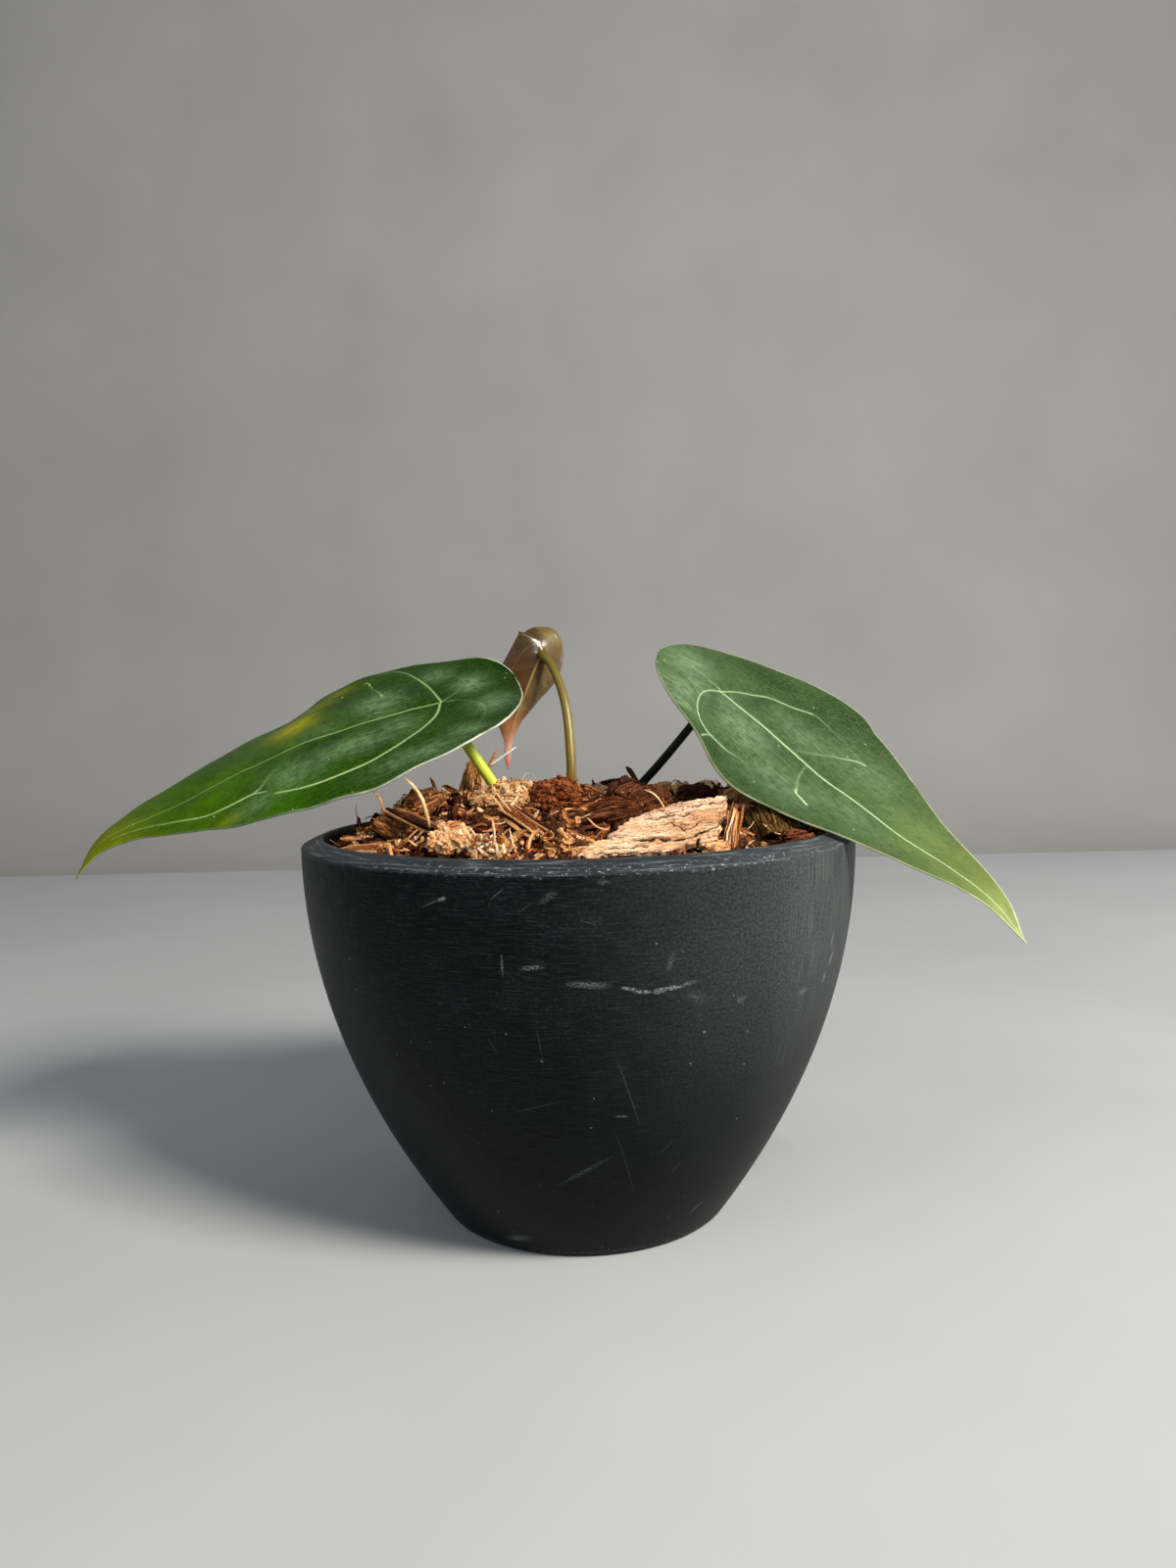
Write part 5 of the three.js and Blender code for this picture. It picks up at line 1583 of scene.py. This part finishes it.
def scatter_crumbs(name, ground, bits, count, sizes, spread, seed, material, slot):
    """Loose crumbs of husk, each turned at random and sunk a third into the mix."""
    draw = random.Random(seed)
    bm = husk_mesh()
    for _ in range(count):
        hit, normal = ground.under(draw, spread)
        if hit is None:
            continue
        size = draw.uniform(*sizes)
        shape = Vector((size, size * draw.uniform(0.5, 0.9), size * draw.uniform(0.4, 0.8)))
        lay_crumb(bm, bits, hit + normal * size * 0.1, any_turn(draw), shape, draw)
    finished(name, bm, [material], slot, smooth=False)


def scatter_strands(name, ground, rods, count, bunch, lengths, radii, tilt, flat, spread, seed,
                    material, slot, blunt):
    """Loose shreds or fibres that lie on the mix, alone or side by side in bunches, bent,
    with their ends a little raised."""
    draw = random.Random(seed)
    bm = husk_mesh()
    for _ in range(count):
        hit, normal = ground.under(draw, spread)
        length = draw.uniform(*lengths)
        if hit is None:
            continue
        way = draw.uniform(0, math.tau)
        heading = Vector((math.cos(way), math.sin(way), 0))
        heading = (heading - normal * heading.dot(normal)).normalized()
        heading = (heading + normal * draw.uniform(*tilt)).normalized()
        side = heading.cross(normal).normalized()
        bow = side * draw.uniform(-0.14, 0.14) * length
        sag = normal * draw.uniform(-0.1, 0.08) * length
        aside = 0
        for _ in range(draw.randint(*bunch)):
            radius = draw.uniform(*radii)
            own = length * draw.uniform(0.6, 1)
            start = hit - heading * own * 0.35 + normal * radius * 0.3 + side * aside
            start += heading * draw.uniform(-0.1, 0.1) * length
            points = [start, start + heading * own * 0.35 + bow * 0.8 + sag,
                      start + heading * own * 0.7 + bow + sag, start + heading * own]
            lay_strand(bm, rods, points, radius, draw.uniform(*flat), draw, blunt)
            aside += radius * 1.5
    finished(name, bm, [material], slot, smooth=False)


# Hairs and shreds that stand out in view: root to tip, radius, colour
SHOWN_STRANDS = [
    ([(-30.1, -40.5, 95), (-31, -40.5, 99.2), (-32.4, -40.5, 102.6), (-35, -40.5, 105.3)], 0.42,
     "pale"),
    ([(-42.4, -21.9, 95), (-43.1, -21.9, 98.3), (-43.9, -21.9, 100.5), (-45, -21.9, 101.4)], 0.26,
     "orange"),
    ([(-48.3, -21.2, 90), (-48.6, -21.2, 94.4), (-49.2, -21.2, 97.5), (-48.9, -21.2, 98.8)], 0.1,
     "dark"),
    ([(-22.3, 8, 104.7), (-18.7, 8, 107.1), (-14.9, 8, 109.7)], 0.42, "white"),
    ([(-22.4, 8, 104), (-20.8, 8, 106.8), (-19.8, 8, 109)], 0.4, "orange"),
    ([(24.1, -14.8, 96), (24.4, -14.8, 99.2), (23.6, -14.8, 101.6), (21.9, -14.8, 102),
      (20.9, -14.8, 100.6), (21.6, -14.8, 99.6)], 0.17, "dark"),
    ([(15.2, 1, 99), (13.4, 2, 102.4), (11.8, 2, 104.4)], 0.7, "dark"),
    ([(-12, -13.9, 100.5), (-12.4, -13.9, 103.2), (-10.8, -13.9, 104.5), (-8.9, -13.9, 102.2)],
     0.09, "pale"),
    ([(18.5, -43.2, 97), (17.2, -43.4, 99.5), (15.6, -43.4, 101.3), (14, -43, 101.9)], 0.2,
     "pale"),
    ([(-14.8, -37, 97.2), (-16.2, -37, 99.3), (-18, -36.6, 101.4)], 0.24, "pale"),
    ([(-13.6, -37, 97.6), (-15.4, -37, 99.9), (-17.1, -36.6, 102)], 0.18, "pale"),
    ([(-16.4, -51.3, 91.6), (-16, -51.8, 94.8), (-16.4, -51.3, 97.3)], 0.34, "pale"),
    ([(-35.8, -41.5, 91.4), (-34.1, -42, 93.4), (-32.5, -41.5, 94.8)], 0.25, "orange"),
    ([(43.6, -31, 90.8), (41.6, -31.6, 91.6), (39.7, -31, 93.3)], 0.2, "pale"),
    ([(6.6, -43, 93.9), (4.1, -43.6, 94.7), (2.2, -43, 96.6)], 0.22, "pale"),
]


def make_shown_strands(rods, husks):
    draw = random.Random(5)
    for colour in sorted({row[2] for row in SHOWN_STRANDS}):
        bm = husk_mesh()
        for points, radius, own in SHOWN_STRANDS:
            if own == colour:
                lay_strand(bm, rods, points, radius, 0.8, draw, tone=0.3)
        finished(f"standing_fibres_{colour}", bm, [husks[colour]],
                 SLOT_BY_COLOUR.get(colour, "husk_pale"))


def make_filling(leaves):
    husks = {
        # The mix between the pieces is painted dark, as shade in the gaps between them
        "mix": husk("husk_pith_shaded", "140602", "4c2410", "a8683a"),
        "orange": husk("husk_pith_orange", "3a1406", "c06c32", "f4bb7e"),
        "red": husk("husk_pith_red", "2a0c03", "7c3c1b", "bd7440"),
        "dark": husk("husk_pith_dark", "0e0401", "381a0b", "7a4828"),
        "brown": husk("husk_pith_brown", "2a1206", "96592e", "dca066"),
        "pale": husk("husk_pith_pale", "9a5624", "fabe7c", "ffeac4"),
        "tan": husk("husk_pith_tan", "58290d", "dc9c5c", "ffdfae"),
        "umber": husk("husk_pith_umber", "160702", "54260f", "9c5e36"),
        "olive": husk("husk_pith_olive", "1a0d03", "5c3e18", "9a7c3e"),
        "white": husk("husk_fibre_bleached", "d8ccbc", "f6efe4", "ffffff"),
    }
    rods = rod_template(5, 5)
    slim = rod_template(4, 3)
    bits = crumb_template(1)
    pieces = {**make_bark(bark_skin()), **make_chips(husks, rods, bits)}
    pieces["potting_mix"] = make_mix(husks["mix"])
    ground = Ground(pieces, leaves)
    for colour, count, seed in (("orange", 300, 11), ("red", 170, 12), ("dark", 140, 13),
                                ("pale", 200, 14)):
        scatter_crumbs(f"crumbs_{colour}", ground, bits, count, (0.4, 1.5), 57.5, seed,
                       husks[colour], SLOT_BY_COLOUR[colour])
    for colour, count, seed in (("orange", 460, 1), ("red", 130, 2), ("dark", 40, 3),
                                ("pale", 270, 4)):
        scatter_strands(f"shreds_{colour}", ground, slim, count, (2, 6), (2.2, 7), (0.14, 0.4),
                        (0.0, 0.5), (0.4, 0.8), 56, seed, husks[colour],
                        SLOT_BY_COLOUR[colour], 0.8)
    for colour, count, seed in (("orange", 220, 21), ("dark", 50, 22), ("pale", 200, 23)):
        scatter_strands(f"fibres_{colour}", ground, rods, count, (1, 1), (2.5, 8), (0.08, 0.18),
                        (0.0, 0.4), (0.8, 1.0), 56, seed, husks[colour],
                        SLOT_BY_COLOUR[colour], 0.35)
    make_shown_strands(rods, husks)
    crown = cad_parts["crown_with_roots"]
    crown.data.materials.clear()
    crown.data.materials.append(root_skin())


# Stage, light and camera

PAPER_WIDTH = 5.2


def make_paper(name, profile, skin):
    """A wide sheet of paper drawn out sideways from its profile, depth and height in metres."""
    bm = bmesh.new()
    verts = [bm.verts.new((-PAPER_WIDTH / 2, y, z)) for y, z in profile]
    edges = [bm.edges.new(pair) for pair in zip(verts, verts[1:])]
    drawn = bmesh.ops.extrude_edge_only(bm, edges=edges)["geom"]
    bmesh.ops.translate(bm, vec=(PAPER_WIDTH, 0, 0),
                        verts=[v for v in drawn if isinstance(v, bmesh.types.BMVert)])
    bmesh.ops.recalc_face_normals(bm, faces=bm.faces)
    if bm.faces[:][0].normal.z < 0:
        bmesh.ops.reverse_faces(bm, faces=bm.faces)
    mesh = kept_mesh(bm, name)
    for polygon in mesh.polygons:
        polygon.use_smooth = True
    paper = placed_object(name, mesh)
    mesh.materials.append(skin)


def make_stage():
    """A pale paper floor, and grey paper that hangs behind it and sweeps forward under it."""
    bend = [(0.62 + 0.2 * math.sin(a), 0.2 - 0.2 * math.cos(a))
            for a in [math.pi / 2 * i / 12 for i in range(1, 13)]]
    make_paper("floor_paper", [(-1.6, 0), (0.6, 0)],
               studio_paper("pale_paper", "b6babc", "bec2c4"))
    make_paper("hanging_paper", [(0.6, -0.001), (0.62, -0.001), *bend, (0.82, 2.6)],
               studio_paper("grey_paper", "a4a4a2", "adadab"))


def make_light(name, place, target, size, power, colour):
    data = bpy.data.lights.new(name, "AREA")
    data.shape = "RECTANGLE"
    data.size, data.size_y = size
    data.energy = power
    data.color = shade(colour)[:3]
    light = placed_object(name, data)
    way = Vector(target) - Vector(place)
    turn = way.to_track_quat("-Z", "Y").to_matrix().to_4x4()
    light.matrix_world = Matrix.Translation(place) @ turn


def make_lights():
    world = bpy.data.worlds.new("studio")
    world.use_nodes = True
    world.node_tree.nodes["Background"].inputs["Color"].default_value = shade("c9cdd0")
    world.node_tree.nodes["Background"].inputs["Strength"].default_value = 0.36
    scene.world = world
    middle = (0, 0, 0.09)
    make_light("key", (0.6, -0.56, 0.72), middle, (0.28, 0.28), 15.6, "fff8ee")
    make_light("side", (0.8, 0.3, 0.16), middle, (0.4, 0.3), 1.3, "f6f7ff")
    make_light("fill", (-0.5, -0.7, 0.75), middle, (0.5, 0.5), 1.6, "f2f4ff")


CAMERA_PLACE = (2.53, -275.2, 118.7)
CAMERA_LENS = 26.35
CAMERA_PITCH = 3.77
CAMERA_ROLL = -1.34


def make_camera():
    """Set up from the pot's outline in the photograph."""
    data = bpy.data.cameras.new("view")
    data.sensor_fit = "VERTICAL"
    data.sensor_height = 36
    data.lens = CAMERA_LENS
    data.clip_start = 0.01
    pitch, roll = math.radians(CAMERA_PITCH), math.radians(CAMERA_ROLL)
    forward = Vector((0, math.cos(pitch), -math.sin(pitch)))
    level_up = Vector((0, math.sin(pitch), math.cos(pitch)))
    across = Vector((1, 0, 0)) * math.cos(roll) + level_up * math.sin(roll)
    up = across.cross(forward)
    turn = Matrix((across, up, -forward)).transposed().to_4x4()
    camera = placed_object("view", data)
    camera.matrix_world = Matrix.Translation(Vector(CAMERA_PLACE) * MM) @ turn
    scene.camera = camera


make_camera()
make_lights()
make_stage()
make_pot()
blades = make_leaves()
make_stalks()
make_filling(blades)

scene.view_settings.view_transform = "Standard"
